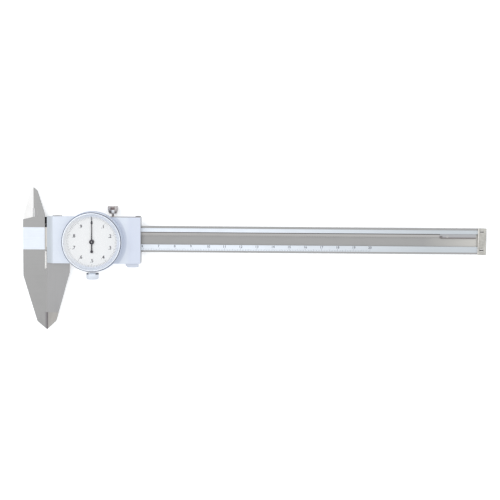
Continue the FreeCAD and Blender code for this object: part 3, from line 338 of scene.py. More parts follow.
@dataclass(frozen=True)
class Finish:
    """A worked surface: its colour, gloss, grain, how much its tone wanders, and its patches, many of
    them painted shade, shadow or highlights.
    """

    name: str
    colour: tuple[int, int, int]
    roughness: float = 0.4
    metallic: float = 1.0
    grain: Grain = Grain.BLASTED
    fineness: float = 4000.0
    relief: float = 0.1
    tone: float = 0.06
    gloss_spread: float = 0.08
    coat: float = 0.0
    patches: tuple[Patch | RingPatch, ...] = ()

    @cache
    def material(self) -> bpy.types.Material:
        """Build the material once.

        Returns:
            The material.
        """
        material = bpy.data.materials.new(self.name)
        material.use_nodes = True
        sheet = NodeSheet(material.node_tree)
        shader = material.node_tree.nodes["Principled BSDF"]
        shader.inputs["Metallic"].default_value = self.metallic
        shader.inputs["Coat Weight"].default_value = self.coat
        place = sheet.add("ShaderNodeTexCoord").outputs["Object"]
        surface = sheet.add("ShaderNodeGroup", node_tree=worked_surface())
        surface.inputs["Stretch"].default_value = self.grain.value
        surface.inputs["Fineness"].default_value = self.fineness
        surface.inputs["Relief"].default_value = self.relief
        sheet.join(place, surface.inputs["Place"])
        sheet.join(surface.outputs["Normal"], shader.inputs["Normal"])
        masks = [patch.mask(sheet, place) for patch in self.patches]
        wander = sheet.math("ADD", sheet.math("MULTIPLY", surface.outputs["Grain"], 0.5),
                            sheet.math("MULTIPLY", surface.outputs["Mottle"], 0.5))
        shade = self.spread(sheet, wander, 1.0 - self.tone,
                            1.0 + self.tone * TONE_LIFT)
        tinted = sheet.add("ShaderNodeVectorMath", operation="SCALE")
        sheet.join(self.patched_colour(sheet, masks), tinted.inputs[0])
        sheet.join(shade, tinted.inputs["Scale"])
        sheet.join(tinted.outputs[0], shader.inputs["Base Color"])
        gloss = self.spread(sheet, surface.outputs["Mottle"], self.roughness - self.gloss_spread,
                            self.roughness + self.gloss_spread)
        sheet.join(self.patched(sheet, masks, gloss, "roughness"), shader.inputs["Roughness"])
        if any(patch.metallic is not None for patch in self.patches):
            sheet.join(self.patched(sheet, masks, self.metallic, "metallic"),
                       shader.inputs["Metallic"])
        return material

    @staticmethod
    def spread(sheet: NodeSheet, value: bpy.types.NodeSocket, low: float,
               high: float) -> bpy.types.NodeSocket:
        """Stretch the middle of a noise over a range.

        Args:
            sheet: The material's node sheet.
            value: The noise.
            low: What its low end becomes.
            high: What its high end becomes.

        Returns:
            The result.
        """
        stretch = sheet.add("ShaderNodeMapRange")
        stretch.inputs["From Min"].default_value = NOISE_LOW
        stretch.inputs["From Max"].default_value = NOISE_HIGH
        stretch.inputs["To Min"].default_value = low
        stretch.inputs["To Max"].default_value = high
        sheet.join(value, stretch.inputs["Value"])
        return stretch.outputs[0]

    def patched_colour(self, sheet: NodeSheet, masks: Sequence[bpy.types.NodeSocket]
                       ) -> bpy.types.NodeSocket:
        """The plain colour with each patch laid over it in turn.

        Args:
            sheet: The material's node sheet.
            masks: The patches' masks.

        Returns:
            A colour socket.
        """
        plain = sheet.add("ShaderNodeRGB")
        plain.outputs[0].default_value = linear(*self.colour)
        colour = plain.outputs[0]
        for patch, mask in zip(self.patches, masks):
            mix = sheet.add("ShaderNodeMix", data_type="RGBA")
            mix.inputs[7].default_value = linear(*patch.colour)
            sheet.join(mask, mix.inputs[0])
            sheet.join(colour, mix.inputs[6])
            colour = mix.outputs[2]
        return colour

    def patched(self, sheet: NodeSheet, masks: Sequence[bpy.types.NodeSocket],
                plain: bpy.types.NodeSocket | float, field: str) -> bpy.types.NodeSocket | float:
        """One value of the surface with the patches that set it laid over it.

        Args:
            sheet: The material's node sheet.
            masks: The patches' masks.
            plain: The value elsewhere.
            field: The patches' field that holds theirs.

        Returns:
            The value.
        """
        value = plain
        for patch, mask in zip(self.patches, masks):
            wanted = getattr(patch, field)
            if wanted is None:
                continue
            mix = sheet.add("ShaderNodeMix", data_type="FLOAT")
            mix.inputs[3].default_value = wanted
            sheet.join(mask, mix.inputs[0])
            if isinstance(value, float):
                mix.inputs[2].default_value = value
            else:
                sheet.join(value, mix.inputs[2])
            value = mix.outputs[0]
        return value


LAND = (226, 232, 240)
# Painted shade: the front land is drawn darker towards the beam's right end, as if the light fell off
# there.
LAND_PAINTED_SHADE = (192, 198, 203)
BEAM_STEEL = Finish("beam_steel", (160, 160, 160), roughness=0.42, grain=Grain.ALONG_X,
                    fineness=2600.0, relief=0.12, patches=(
    # Painted shade: a dark line in the gap between the rack's back and the groove's upper wall.
    Patch((92, 86, 84), (24.0, 4.05, 3.0), (243.5, 4.6, 4.4), (1.0, 0.05, 0.1)),
    Patch((196, 195, 191), (250.0, -3.3, 3.0), (FAR, 4.0, 4.4), (34.0, 0.1, 0.1)),
    Patch(LAND, (-FAR, -FAR, 5.02), (FAR, FAR, FAR), (0.1, 0.1, 0.02), metallic=0.3),
    # Painted shade: the front land darkens towards the right end.
    Patch(LAND_PAINTED_SHADE, (180.0, -FAR, 5.02), (FAR, FAR, FAR), (110.0, 0.1, 0.02), metallic=0.5),
    Patch(LAND, (-FAR, -FAR, -FAR), (FAR, FAR, 1.38), (0.1, 0.1, 0.02), metallic=0.3),
    Patch((204, 201, 197), (-0.9, -6.95, 4.5), (0.5, 6.95, 5.0), (0.05, 0.05, 0.1)),
    # Painted shade: a thin dark line down the left edge of the strip beside the fixed head.
    Patch((116, 108, 104), (-0.93, -6.95, 4.5), (-0.72, 6.95, 5.0), (0.05, 0.05, 0.1)),
    # Painted shade: near black in the slot between the fixed head and the slider, where only shadow
    # shows.
    Patch((14, 11, 11), (-0.9, 6.9, 4.0), (0.5, 8.1, 5.0), (0.05, 0.05, 0.1), metallic=0.0,
          roughness=0.8),
    # Painted highlight: a lighter line down the jaws' contact faces.
    Patch((206, 204, 200), (-0.1, -46.0, -FAR), (0.1, -18.8, FAR), (0.06, 0.1, 1.0)),
    # Painted highlight: the wall of the relief gap drawn near white, so the gap between the jaws
    # reads bright.
    Patch((252, 251, 248), (-1.02, -18.9, -FAR), (-0.88, -7.9, FAR), (0.06, 0.1, 1.0),
          roughness=0.25),
    # Painted shade: the jaw tip's facet beside the contact line drawn darker.
    Patch((128, 125, 128), (-0.9, -FAR, -FAR), (0.6, -46.0, FAR), (1.4, 0.1, 1.0)),
))
JAW_STEEL = Finish("jaw_ground_steel", (162, 162, 163), roughness=0.42, grain=Grain.ALONG_Y,
                   fineness=2600.0, relief=0.12, patches=(
    # Painted highlight: the rear inside jaw drawn near white, as if washed out by light.
    Patch((252, 252, 252), (-15.0, 11.4, 2.9), (-7.7, 34.0, 3.4), (0.1, 0.1, 0.1), roughness=0.06),
    # Painted shade: near black on the arm seen through the slot beside the fixed head.
    Patch((12, 9, 9), (-1.1, 7.3, 2.9), (0.6, 13.7, 3.5), (0.05, 0.05, 0.1), metallic=0.0,
          roughness=0.8),
    # Painted highlight: the moving jaw's face at the relief gap drawn near white, so the gap reads
    # bright.
    Patch((252, 251, 248), (-0.1, -18.9, -FAR), (0.08, -8.0, FAR), (0.06, 0.1, 1.0),
          roughness=0.25),
    # Painted light on the jaw tips: the right facets drawn lighter and the left facets darker, as
    # light falls on them.
    Patch((168, 166, 163), (0.6, -FAR, -FAR), (FAR, -46.0, FAR), (0.4, 0.1, 1.0)),
    Patch((116, 112, 114), (-FAR, -FAR, -FAR), (0.5, -46.0, FAR), (0.5, 0.1, 1.0)),
))
RACK_STEEL = Finish("rack_steel", (172, 171, 170), roughness=0.38, grain=Grain.ALONG_X, patches=(
    Patch((168, 169, 172), (243.0, -FAR, -FAR), (FAR, FAR, FAR), (0.8, 1.0, 1.0)),
    # Painted shadow under the rack tail's lower edge, darker still where the tail starts.
    Patch((128, 124, 124), (243.0, -FAR, -FAR), (FAR, 2.5, FAR), (0.6, 0.3, 1.0)),
    Patch((122, 118, 118), (243.0, -FAR, -FAR), (244.8, 3.4, FAR), (0.9, 0.4, 1.0)),
))
STOP_STEEL = Finish("end_stop_steel", (184, 183, 178), roughness=0.4, fineness=900.0, tone=0.38,
                    patches=(
    # Painted highlight along the end stop's left edge.
    Patch((240, 236, 232), (-FAR, -FAR, 5.3), (266.95, FAR, FAR), (0.3, 1.0, 0.1)),
))
SATIN_CHROME = Finish("satin_chrome", (218, 224, 234), roughness=0.45, metallic=0.25,
                      fineness=5200.0, relief=0.08, tone=0.025, gloss_spread=0.05, patches=(
    # Painted shade: the cover's left bevel drawn darker than its face.
    Patch((194, 200, 207), (-FAR, -FAR, 3.0), (4.35, FAR, FAR), (0.1, 1.0, 1.0)),
    # Painted shadow: a darker ring round the dial case on the cover.
    RingPatch((201, 208, 222), 18.4, 20.9, 8.0, FAR, 0.6),
    # The cover's own colour again left of the dial, so the painted shadow shows only on the right.
    Patch((218, 224, 234), (5.0, -FAR, 8.0), (DIAL_X + 4.0, FAR, FAR), (7.0, 1.0, 1.0)),
    # Painted shade: the cover darker towards its right end.
    Patch((209, 215, 229), (50.5, -FAR, 3.0), (FAR, FAR, FAR), (3.0, 1.0, 1.0)),
    Patch((206, 211, 222), (40.0, -FAR, 1.4), (FAR, -15.2, 6.5), (0.1, 0.1, 0.1)),
    # Painted shade: a dark line along the cover's top edge, in the gap to the frame wall.
    Patch((148, 146, 148), (26.0, 13.55, 3.0), (FAR, FAR, FAR), (4.0, 0.1, 1.0)),
    # Painted shade: the cover's right side wall drawn darker.
    Patch((190, 194, 203), (58.12, -FAR, 3.0), (FAR, FAR, FAR), (0.1, 1.0, 1.0)),
))
BEZEL_CHROME = Finish("bezel_chrome", (236, 241, 249), roughness=0.26, metallic=0.4,
                      grain=Grain.MOULDED, relief=0.03, tone=0.02, gloss_spread=0.04, patches=(
    # Painted shade: a dark ring on the bezel's rounded outer edge, standing in for how light falls
    # there.
    RingPatch((60, 68, 92), 17.76, 18.6, 15.9, FAR, 0.08, metallic=0.0, roughness=0.5),
))
# Painted light: the sloped ring is pale blue as if in shade, and near white on its left side where
# light falls.
REHAUT = Finish("rehaut_satin", (233, 239, 249), roughness=0.4, metallic=0.0, grain=Grain.MOULDED,
                relief=0.03, tone=0.02, gloss_spread=0.04, patches=(
    Patch((252, 253, 255), (-FAR, -14.0, -FAR), (21.0, FAR, FAR), (10.0, 8.0, 1.0)),
))
CASE_CHROME = Finish("case_chrome", (196, 204, 219), roughness=0.35, metallic=0.4,
                     grain=Grain.MOULDED, relief=0.05, tone=0.03, patches=(
    # Painted highlight: the case's lug under the bezel drawn near white, against the shade between
    # bezel and knob.
    Patch((252, 253, 255), (DIAL_X - 1.8, -21.0, 8.0), (DIAL_X + 1.8, -19.7, 12.0),
          (0.2, 0.2, 1.0)),
))
SCREW_STEEL = Finish("screw_steel", (174, 174, 174), roughness=0.28, relief=0.06, tone=0.1)
STOP_SCREW_STEEL = Finish("end_stop_screw_steel", (190, 189, 186), roughness=0.3, relief=0.06,
                          tone=0.12, patches=(
    # Painted shade: the screw slots drawn dark below the head's face.
    Patch((44, 40, 38), (-FAR, -FAR, -FAR), (FAR, FAR, 5.84), (1.0, 1.0, 0.02)),
))
# Painted shade: the gib strip is drawn near black, as the shadowed gap over the beam's edge where it
# shows.
GIB_PAINTED_SHADE = Finish("gib_painted_shade", (20, 17, 17), roughness=0.6, metallic=0.0, grain=Grain.ALONG_X,
                   relief=0.1, tone=0.2)
# Painted light on the lock screw's head: a dark band and a bright foot.
LOCK_PAINTED_SHADE_AND_HIGHLIGHT = (
    # Painted shade: a dark band across the head.
    Patch((128, 116, 116), (39.6, 17.9, -FAR), (42.2, 19.6, FAR), (0.5, 0.5, 1.0)),
    # Painted highlight: a bright foot on the head.
    Patch((250, 252, 255), (40.4, 15.8, -FAR), (42.0, 17.9, FAR), (0.4, 0.4, 1.0), metallic=0.4),
)
KNURL_STEEL = Finish("lock_head_steel", (232, 228, 228), roughness=0.22, relief=0.15, tone=0.2,
                     patches=LOCK_PAINTED_SHADE_AND_HIGHLIGHT)
# Painted shade: the knurl grooves drawn darker than the ridges.
KNURL_GROOVE_SHADE = Finish("lock_head_groove_shade", (168, 164, 166), roughness=0.4, relief=0.15, tone=0.3,
                    patches=LOCK_PAINTED_SHADE_AND_HIGHLIGHT)
# Painted light on the clamp knob: a dark neck and a paler middle.
KNOB_PAINTED_SHADE_AND_HIGHLIGHT = (
    # Painted shade: a dark band at the knob's neck under the dial.
    Patch((92, 94, 104), (DIAL_X - 4.0, -21.5, -FAR), (DIAL_X + 4.0, -20.3, FAR), (0.2, 0.4, 1.0)),
    # Painted highlight: the middle of the knob drawn in one pale tone, grooves included.
    Patch((226, 232, 240), (DIAL_X - 2.2, -22.5, -FAR), (DIAL_X + 2.2, -20.0, FAR),
          (0.5, 0.5, 1.0)),
)
KNOB_CHROME = Finish("knob_chrome", (238, 242, 248), roughness=0.3, metallic=0.5, relief=0.05,
                     tone=0.05, patches=KNOB_PAINTED_SHADE_AND_HIGHLIGHT)
# Painted shade: the knob's knurl grooves drawn darker than its ridges.
KNOB_GROOVE_SHADE = Finish("knob_groove_shade", (208, 214, 224), roughness=0.35, metallic=0.4, relief=0.05,
                      tone=0.1, patches=KNOB_PAINTED_SHADE_AND_HIGHLIGHT)
BRASS = Finish("turned_brass", (201, 167, 96), roughness=0.34, relief=0.08, tone=0.1)
DIAL_WHITE = Finish("dial_enamel", (255, 255, 255), roughness=0.5, metallic=0.0, relief=0.02,
                    tone=0.01, gloss_spread=0.03, patches=(
    # Painted shade: a pale blue band near the rim of the dial.
    RingPatch((238, 243, 253), 15.3, FAR, soft=1.2),
    # White again on the left and top, so the painted shade shows only on the right and bottom.
    Patch((255, 255, 255), (-FAR, -12.0, -FAR), (22.0, FAR, FAR), (8.0, 8.0, 1.0)),
))
INK = Finish("printed_ink", (52, 52, 64), roughness=0.55, metallic=0.0, relief=0.02, tone=0.1)
SCALE_INK = Finish("etched_ink", (84, 88, 100), roughness=0.6, metallic=0.0, relief=0.05, tone=0.15)
NEEDLE_BLACK = Finish("needle_lacquer", (54, 50, 60), roughness=0.4, metallic=0.0, relief=0.04,
                      tone=0.1, coat=0.2)


@dataclass(frozen=True)
class CrystalFinish:
    """Clear acrylic that lets the light through to the dial."""

    name: str = "clear_crystal"
    ior: float = 1.15
    haze: float = 0.04
    smudge_scale: float = 220.0

    def material(self) -> bpy.types.Material:
        """Build the crystal's material.

        Returns:
            The new material.
        """
        material = bpy.data.materials.new(self.name)
        material.use_nodes = True
        sheet = NodeSheet(material.node_tree)
        shader = material.node_tree.nodes["Principled BSDF"]
        shader.inputs["Transmission Weight"].default_value = 1.0
        shader.inputs["IOR"].default_value = self.ior
        place = sheet.add("ShaderNodeTexCoord").outputs["Object"]
        smudge = sheet.add("ShaderNodeTexNoise")
        smudge.inputs["Scale"].default_value = self.smudge_scale
        sheet.join(place, smudge.inputs["Vector"])
        haze = sheet.add("ShaderNodeMapRange")
        haze.inputs["To Max"].default_value = self.haze
        sheet.join(smudge.outputs["Fac"], haze.inputs["Value"])
        sheet.join(haze.outputs[0], shader.inputs["Roughness"])
        clear = sheet.add("ShaderNodeBsdfTransparent")
        path = sheet.add("ShaderNodeLightPath")
        through = sheet.math("MAXIMUM", path.outputs["Is Shadow Ray"],
                             path.outputs["Is Diffuse Ray"])
        sheet.blend(through, shader, clear, "Material Output")
        return material


# Modelling


@dataclass
class Blank:
    """A piece in the making: a bmesh in millimetres that is set down in the row frame."""

    name: str
    body: str
    finish: Finish | CrystalFinish
    # A second material for knurl grooves, which paints shade into them.
    groove_shade_finish: Finish | None = None
    smooth_angle: float = 35.0

    def __post_init__(self) -> None:
        """Open the bmesh."""
        self.mesh = bmesh.new()

    def turn(self, profile: Sequence[Corner], steps: int, centre: Spot = (0.0, 0.0, 0.0),
             closed: bool = True) -> list[bmesh.types.BMVert]:
        """Spin a profile about an upright axis.

        Args:
            profile: Corners as (radius, height).
            steps: How many steps make the full turn.
            centre: Where the axis stands.
            closed: Whether the last corner joins the first.

        Returns:
            The new vertices.
        """
        before = set(self.mesh.verts)
        x, y, z = centre
        verts = [self.mesh.verts.new((x + radius, y, z + height)) for radius, height in profile]
        pairs = list(zip(verts, verts[1:]))
        if closed:
            pairs.append((verts[-1], verts[0]))
        edges = [self.mesh.edges.new(pair) for pair in pairs]
        bmesh.ops.spin(self.mesh, geom=verts + edges, cent=centre, axis=(0, 0, 1),
                       angle=2 * math.pi, steps=steps, use_merge=True)
        fresh = [vert for vert in self.mesh.verts if vert not in before]
        bmesh.ops.remove_doubles(self.mesh, verts=fresh, dist=1e-5)
        fresh = [vert for vert in self.mesh.verts if vert not in before]
        faces = {face for vert in fresh for face in vert.link_faces}
        bmesh.ops.recalc_face_normals(self.mesh, faces=list(faces))
        return fresh

    def knurl(self, ribs: int, depth: float, inner: float, low: float, high: float) -> None:
        """Cut straight grooves into what was just turned about the origin, with its steps a rib.

        Args:
            ribs: How many ribs go round.
            depth: How deep the grooves are.
            inner: The radius inside which nothing is cut.
            low: The height above which they start.
            high: The height below which they end.
        """
        step = math.tau / (STEPS_PER_RIB * ribs)
        cut = set()
        for vert in self.mesh.verts:
            radius = math.hypot(vert.co.x, vert.co.y)
            column = round(math.atan2(vert.co.y, vert.co.x) / step)
            if radius > inner and low < vert.co.z < high and column % STEPS_PER_RIB == 0:
                vert.co.x *= (radius - depth) / radius
                vert.co.y *= (radius - depth) / radius
                cut.add(vert)
        for face in {face for vert in cut for face in vert.link_faces}:
            # The cut faces take the second material: painted shade in the grooves.
            face.material_index = 1

    def take(self, node: str) -> None:
        """Copy a CAD node's mesh and merge it into one skin.

        Args:
            node: The node's name.
        """
        self.mesh.from_mesh(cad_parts[node].data)
        self.mesh.transform(TO_ROW.inverted())
        bmesh.ops.remove_doubles(self.mesh, verts=self.mesh.verts, dist=1e-4)
        bmesh.ops.dissolve_limit(self.mesh, angle_limit=math.radians(0.5),
                                 verts=self.mesh.verts, edges=self.mesh.edges)

    def ease(self, width: float, least: float = 1.5, hidden: Sequence[Box] = ()) -> None:
        """Break the long outward edges.

        Args:
            width: How far the bevel reaches into each face.
            least: The length under which an edge is left sharp.
            hidden: Boxes that another piece covers, where edges stay sharp.
        """
        sharp = [edge for edge in self.mesh.edges
                 if edge.is_manifold and edge.is_convex and edge.calc_length() > least
                 and edge.calc_face_angle() > SHARP_ANGLE
                 and not any(self.inside(edge, box) for box in hidden)]
        bmesh.ops.bevel(self.mesh, geom=sharp, offset=width, offset_type="OFFSET", segments=2,
                        profile=0.5, affect="EDGES", material=-1, clamp_overlap=False)

    @staticmethod
    def inside(edge: bmesh.types.BMEdge, box: Box) -> bool:
        """Whether both ends of an edge lie in a box."""
        low, high = box
        return all(least < level < most for vert in edge.verts
                   for least, level, most in zip(low, vert.co, high))

    def dot(self, centre: Spot, radius: float, thick: float) -> None:
        """Add a small round spot.

        Args:
            centre: Its middle.
            radius: Its radius.
            thick: Its height.
        """
        bmesh.ops.create_cone(self.mesh, cap_ends=True, segments=10, radius1=radius,
                              radius2=radius, depth=thick, matrix=Matrix.Translation(centre))

    def bar(self, centre: Spot, size: Spot, angle: float = 0.0) -> None:
        """Add a box that may be turned about its middle.

        Args:
            centre: The middle of the box.
            size: Its lengths along x, y and z.
            angle: Its turn about z, in degrees.
        """
        place = (Matrix.Translation(centre) @ Matrix.Rotation(math.radians(angle), 4, "Z")
                 @ Matrix.Diagonal((*size, 1.0)))
        bmesh.ops.create_cube(self.mesh, size=1.0, matrix=place)

    def word(self, text: str, centre: Spot, height: float, thick: float, weight: float) -> None:
        """Add raised figures, centred on a place.

        Args:
            text: The figures.
            centre: The middle of the word, at its lower face.
            height: How tall the figures are.
            thick: How far they stand up.
            weight: How much bolder their strokes are drawn, on each side.
        """
        curve = bpy.data.curves.new("figures", "FONT")
        curve.body = text
        curve.align_x = "CENTER"
        curve.align_y = "CENTER"
        curve.size = height / CAP_HEIGHT
        curve.extrude = thick / 2
        curve.offset = weight
        curve.resolution_u = 3
        holder = bpy.data.objects.new("figures", curve)
        flat = bpy.data.meshes.new_from_object(holder)
        flat.transform(Matrix.Translation((centre[0], centre[1], centre[2] + thick / 2)))
        self.mesh.from_mesh(flat)
        bpy.data.meshes.remove(flat)
        bpy.data.objects.remove(holder)
        bpy.data.curves.remove(curve)

    def set_down(self, stands_for: Iterable[str] = (),
                 turn: Matrix | None = None) -> bpy.types.Object:
        """Make the object, in metres in the row frame, and let it ride.

        Args:
            stands_for: CAD nodes that the piece is shown in place of.
            turn: A turn and shift in millimetres for a piece shaped about its own axis.

        Returns:
            The new object.
        """
        data = bpy.data.meshes.new(self.name)
        self.mesh.transform(TO_ROW @ (turn if turn else Matrix.Identity(4)))
        self.mesh.to_mesh(data)
        self.mesh.free()
        data.polygons.foreach_set("use_smooth", [True] * len(data.polygons))
        data.set_sharp_from_angle(angle=math.radians(self.smooth_angle))
        data.materials.append(self.finish.material())
        if self.groove_shade_finish:
            data.materials.append(self.groove_shade_finish.material())
        piece = bpy.data.objects.new(self.name, data)
        bpy.context.scene.collection.objects.link(piece)
        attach(piece, self.body)
        nodes = list(stands_for)
        if nodes:
            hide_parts(*nodes)
        LOG.info("%s rides on %s with %d faces", self.name, self.body, len(data.polygons))
        return piece


def dress(finish: Finish | CrystalFinish, *nodes: str) -> None:
    """Give CAD nodes a finish.

    Args:
        finish: What they are finished with.
        nodes: The nodes' names.
    """
    material = finish.material()
    for name in nodes:
        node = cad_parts[name]
        for slot in node.material_slots:
            slot.material = material
        if not node.material_slots:
            node.data.materials.append(material)
        LOG.info("%s has the finish %s", name, material.name)


def ease_node(node: str, body: str, finish: Finish, width: float,
              hidden: Sequence[Box] = ()) -> None:
    """Show a CAD node with its edges broken.

    Args:
        node: The node's name.
        body: The body that it rides on.
        finish: What it is finished with.
        width: The bevel's width in millimetres.
        hidden: Boxes in which the edges stay sharp.
    """
    eased = Blank(node + "_eased", body, finish)
    eased.take(node)
    eased.ease(width, hidden=hidden)
    piece = eased.set_down([node])
    level = piece.modifiers.new("level_flats", "WEIGHTED_NORMAL")
    level.keep_sharp = True
    level.weight = 100


# Sub-assemblies


@dataclass
class Beam:
    """The beam with its fixed jaws, rack, end stop, and the scale on its lower land."""

    travel: int = 200
    tick_foot: float = -6.75
    short_tick: float = 0.8
    middle_tick: float = 1.15
    long_tick: float = 1.5
    tick_width: float = 0.12
    figure_middle: float = -4.3
    figure_height: float = 1.5
    figure_weight: float = 0.03
    single_shift: float = 0.8
    ink_thick: float = 0.012
    beam_edge: float = 0.1
    stop_edge: float = 0.12

    def build(self) -> None:
        """Dress the nodes and lay the scale."""
        ease_node("beam", "beam", BEAM_STEEL, self.beam_edge)
        ease_node("end_stop", "beam", STOP_STEEL, self.stop_edge)
        dress(RACK_STEEL, "rack", "depth_rod")
        dress(SCREW_STEEL, "rack_screws")
        dress(STOP_SCREW_STEEL, "end_stop_screws")
        self.lay_scale()

    def lay_scale(self) -> None:
        """Ticks for each millimetre and figures for each centimetre."""
        scale = Blank("beam_scale", "beam", SCALE_INK)
        for place in range(self.travel + 1):
            if place % 10 == 0:
                reach = self.long_tick
            else:
                reach = self.middle_tick if place % 5 == 0 else self.short_tick
            scale.bar((place, self.tick_foot + reach / 2, TOP_Z + self.ink_thick / 2),
                      (self.tick_width, reach, self.ink_thick))
        for centimetre in range(1, self.travel // 10 + 1):
            spot = centimetre * 10 - (self.single_shift if centimetre < 10 else 0.0)
            scale.word(str(centimetre), (spot, self.figure_middle, TOP_Z), self.figure_height,
                       self.ink_thick, self.figure_weight)
        scale.set_down()


@dataclass
class Slider:
    """The frame with its jaws, the pale cover, the back plate and the gib."""

    gib_start: float = -0.85
    gib_end: float = 57.6
    gib_y: float = 8.04
    gib_thick: float = 0.7
    gib_low: float = 1.6
    gib_high: float = 4.8
    gib_edge: float = 0.08
    shortest_gib_edge: float = 0.5
    frame_edge: float = 0.1
    cover_edge: float = 0.2
    plate_edge: float = 0.15
    under_cover: Box = ((-FAR, -FAR, 5.1), (FAR, FAR, 5.4))
    in_slot: Box = ((-FAR, -8.2, -FAR), (FAR, 9.0, FAR))

    def lay_gib(self) -> None:
        """The gib strip, drawn near black as painted shade, which shows in the gap over the beam's
        edge.
        """
        gib = Blank("gib_bar", "slider", GIB_PAINTED_SHADE)
        gib.bar(((self.gib_start + self.gib_end) / 2, self.gib_y + self.gib_thick / 2,
                 (self.gib_low + self.gib_high) / 2),
                (self.gib_end - self.gib_start, self.gib_thick, self.gib_high - self.gib_low))
        gib.ease(self.gib_edge, self.shortest_gib_edge)
        gib.set_down(["gib_strip"])

    def build(self) -> None:
        """Dress the nodes."""
        ease_node("slider_frame", "slider", JAW_STEEL, self.frame_edge,
                  (self.under_cover, self.in_slot))
        ease_node("front_cover", "slider", SATIN_CHROME, self.cover_edge)
        ease_node("back_plate", "slider", SATIN_CHROME, self.plate_edge)
        self.lay_gib()
        dress(SCREW_STEEL, "gib_screws", "back_plate_screws", "rod_rivets", "case_screws",
              "bezel_clamp_pin")
        dress(BRASS, "lock_pad")


@dataclass
class Dial:
    """The case, the bezel, the printed face under its crystal, and the needle."""

    divisions: int = 100
    outer_tick: float = 15.6
    short_tick: float = 1.3
    middle_tick: float = 1.6
    long_tick: float = 2.1
    tick_width: float = 0.1
    long_tick_width: float = 0.12
    figure_ring: float = 11.6
    figure_height: float = 2.0
    figure_weight: float = 0.05
    figure_shift: float = 0.3
    dot_shift: float = -1.05
    dot_radius: float = 0.2
    face_z: float = 13.8
    face_thick: float = 0.4
    face_hole: float = 1.0
    inlay_radius: float = 17.45
    rehaut_foot: float = 16.4
    rehaut_head: float = 17.25
    crystal_z: float = 15.2
    crystal_thick: float = 1.0
    skirt_inner: float = 17.5
    skirt_z: float = 11.5
    bezel_radius: float = 18.2
    bezel_top: float = 16.8
    bezel_edge: float = 0.5
    bezel_opening: float = 17.2
    edge_round: float = 0.08
    case_edge: float = 0.12
    steps: int = 128
    ink_thick: float = 0.015

    def build(self) -> None:
        """Dress the nodes and print the face."""
        ease_node("dial_case", "slider", CASE_CHROME, self.case_edge)
        dress(NEEDLE_BLACK, "needle", "needle_hub")
        self.turn_bezel()
        self.turn_inlays()
        self.print_face()

    def turn_piece(self, name: str, node: str, finish: Finish | CrystalFinish,
                   profile: Sequence[Corner], closed: bool = True) -> None:
        """Turn one round piece about the dial's axis in place of its node.

        Args:
            name: The piece's name.
            node: The CAD node that it stands for.
            finish: Its finish.
            profile: Corners as (radius, height).
            closed: Whether the profile is a closed one.
        """
        blank = Blank(name, "bezel", finish)
        blank.turn(profile, self.steps, (DIAL_X, DIAL_Y, 0.0), closed)
        blank.set_down([node])

    def turn_bezel(self) -> None:
        """The ring with its skirt, broken outer edge and flat lip."""
        outer, top, soft = self.bezel_radius, self.bezel_top, self.edge_round
        crystal_top = self.crystal_z + self.crystal_thick
        self.turn_piece("bezel_ring", "bezel", BEZEL_CHROME, [
            (self.skirt_inner, self.skirt_z),
            (outer - soft, self.skirt_z),
            (outer, self.skirt_z + soft),
            (outer, top - self.bezel_edge - soft),
            (outer - soft / 2, top - self.bezel_edge + soft / 2),
            (outer - self.bezel_edge + soft / 2, top - soft / 2),
            (outer - self.bezel_edge - soft, top),
            (self.bezel_opening + soft, top),
            (self.bezel_opening, top - soft),
            (self.bezel_opening, crystal_top),
            (self.skirt_inner, crystal_top),
        ])

    def turn_inlays(self) -> None:
        """The face, the sloped ring round it and the crystal."""
        foot, outer = self.face_z - self.face_thick, self.inlay_radius
        crystal_top, soft = self.crystal_z + self.crystal_thick, self.edge_round
        self.turn_piece("dial_plate", "dial_face", DIAL_WHITE, [
            (self.face_hole, foot), (outer, foot), (outer, self.face_z),
            (self.face_hole, self.face_z),
        ])
        self.turn_piece("rehaut_ring", "dial_spacer_ring", REHAUT, [
            (outer, self.face_z), (self.rehaut_foot, self.face_z),
            (self.rehaut_head, self.crystal_z), (outer, self.crystal_z),
        ])
        self.turn_piece("crystal_disc", "crystal", CrystalFinish(), [
            (0.0, self.crystal_z), (outer - soft, self.crystal_z),
            (outer, self.crystal_z + soft), (outer, crystal_top - soft),
            (outer - soft, crystal_top), (0.0, crystal_top),
        ], closed=False)

    def print_face(self) -> None:
        """A hundred divisions and ten figures, clockwise from the top."""
        print_work = Blank("dial_print", "bezel", INK)
        level = self.face_z + self.ink_thick / 2
        for step in range(self.divisions):
            turn = math.tau * step / self.divisions
            if step % 10 == 0:
                reach, width = self.long_tick, self.long_tick_width
            else:
                reach = self.middle_tick if step % 5 == 0 else self.short_tick
                width = self.tick_width
            ring = self.outer_tick - reach / 2
            print_work.bar((DIAL_X + ring * math.sin(turn), DIAL_Y + ring * math.cos(turn), level),
                           (width, reach, self.ink_thick), -math.degrees(turn))
        for tenth in range(10):
            turn = math.tau * tenth / 10
            across = DIAL_X + self.figure_ring * math.sin(turn)
            up = DIAL_Y + self.figure_ring * math.cos(turn)
            if tenth:
                across += self.figure_shift
                foot = up - self.figure_height / 2 + self.dot_radius
                print_work.dot((across + self.dot_shift, foot, level), self.dot_radius,
                               self.ink_thick)
            print_work.word(str(tenth), (across, up, self.face_z), self.figure_height,
                            self.ink_thick, self.figure_weight)
        print_work.set_down()


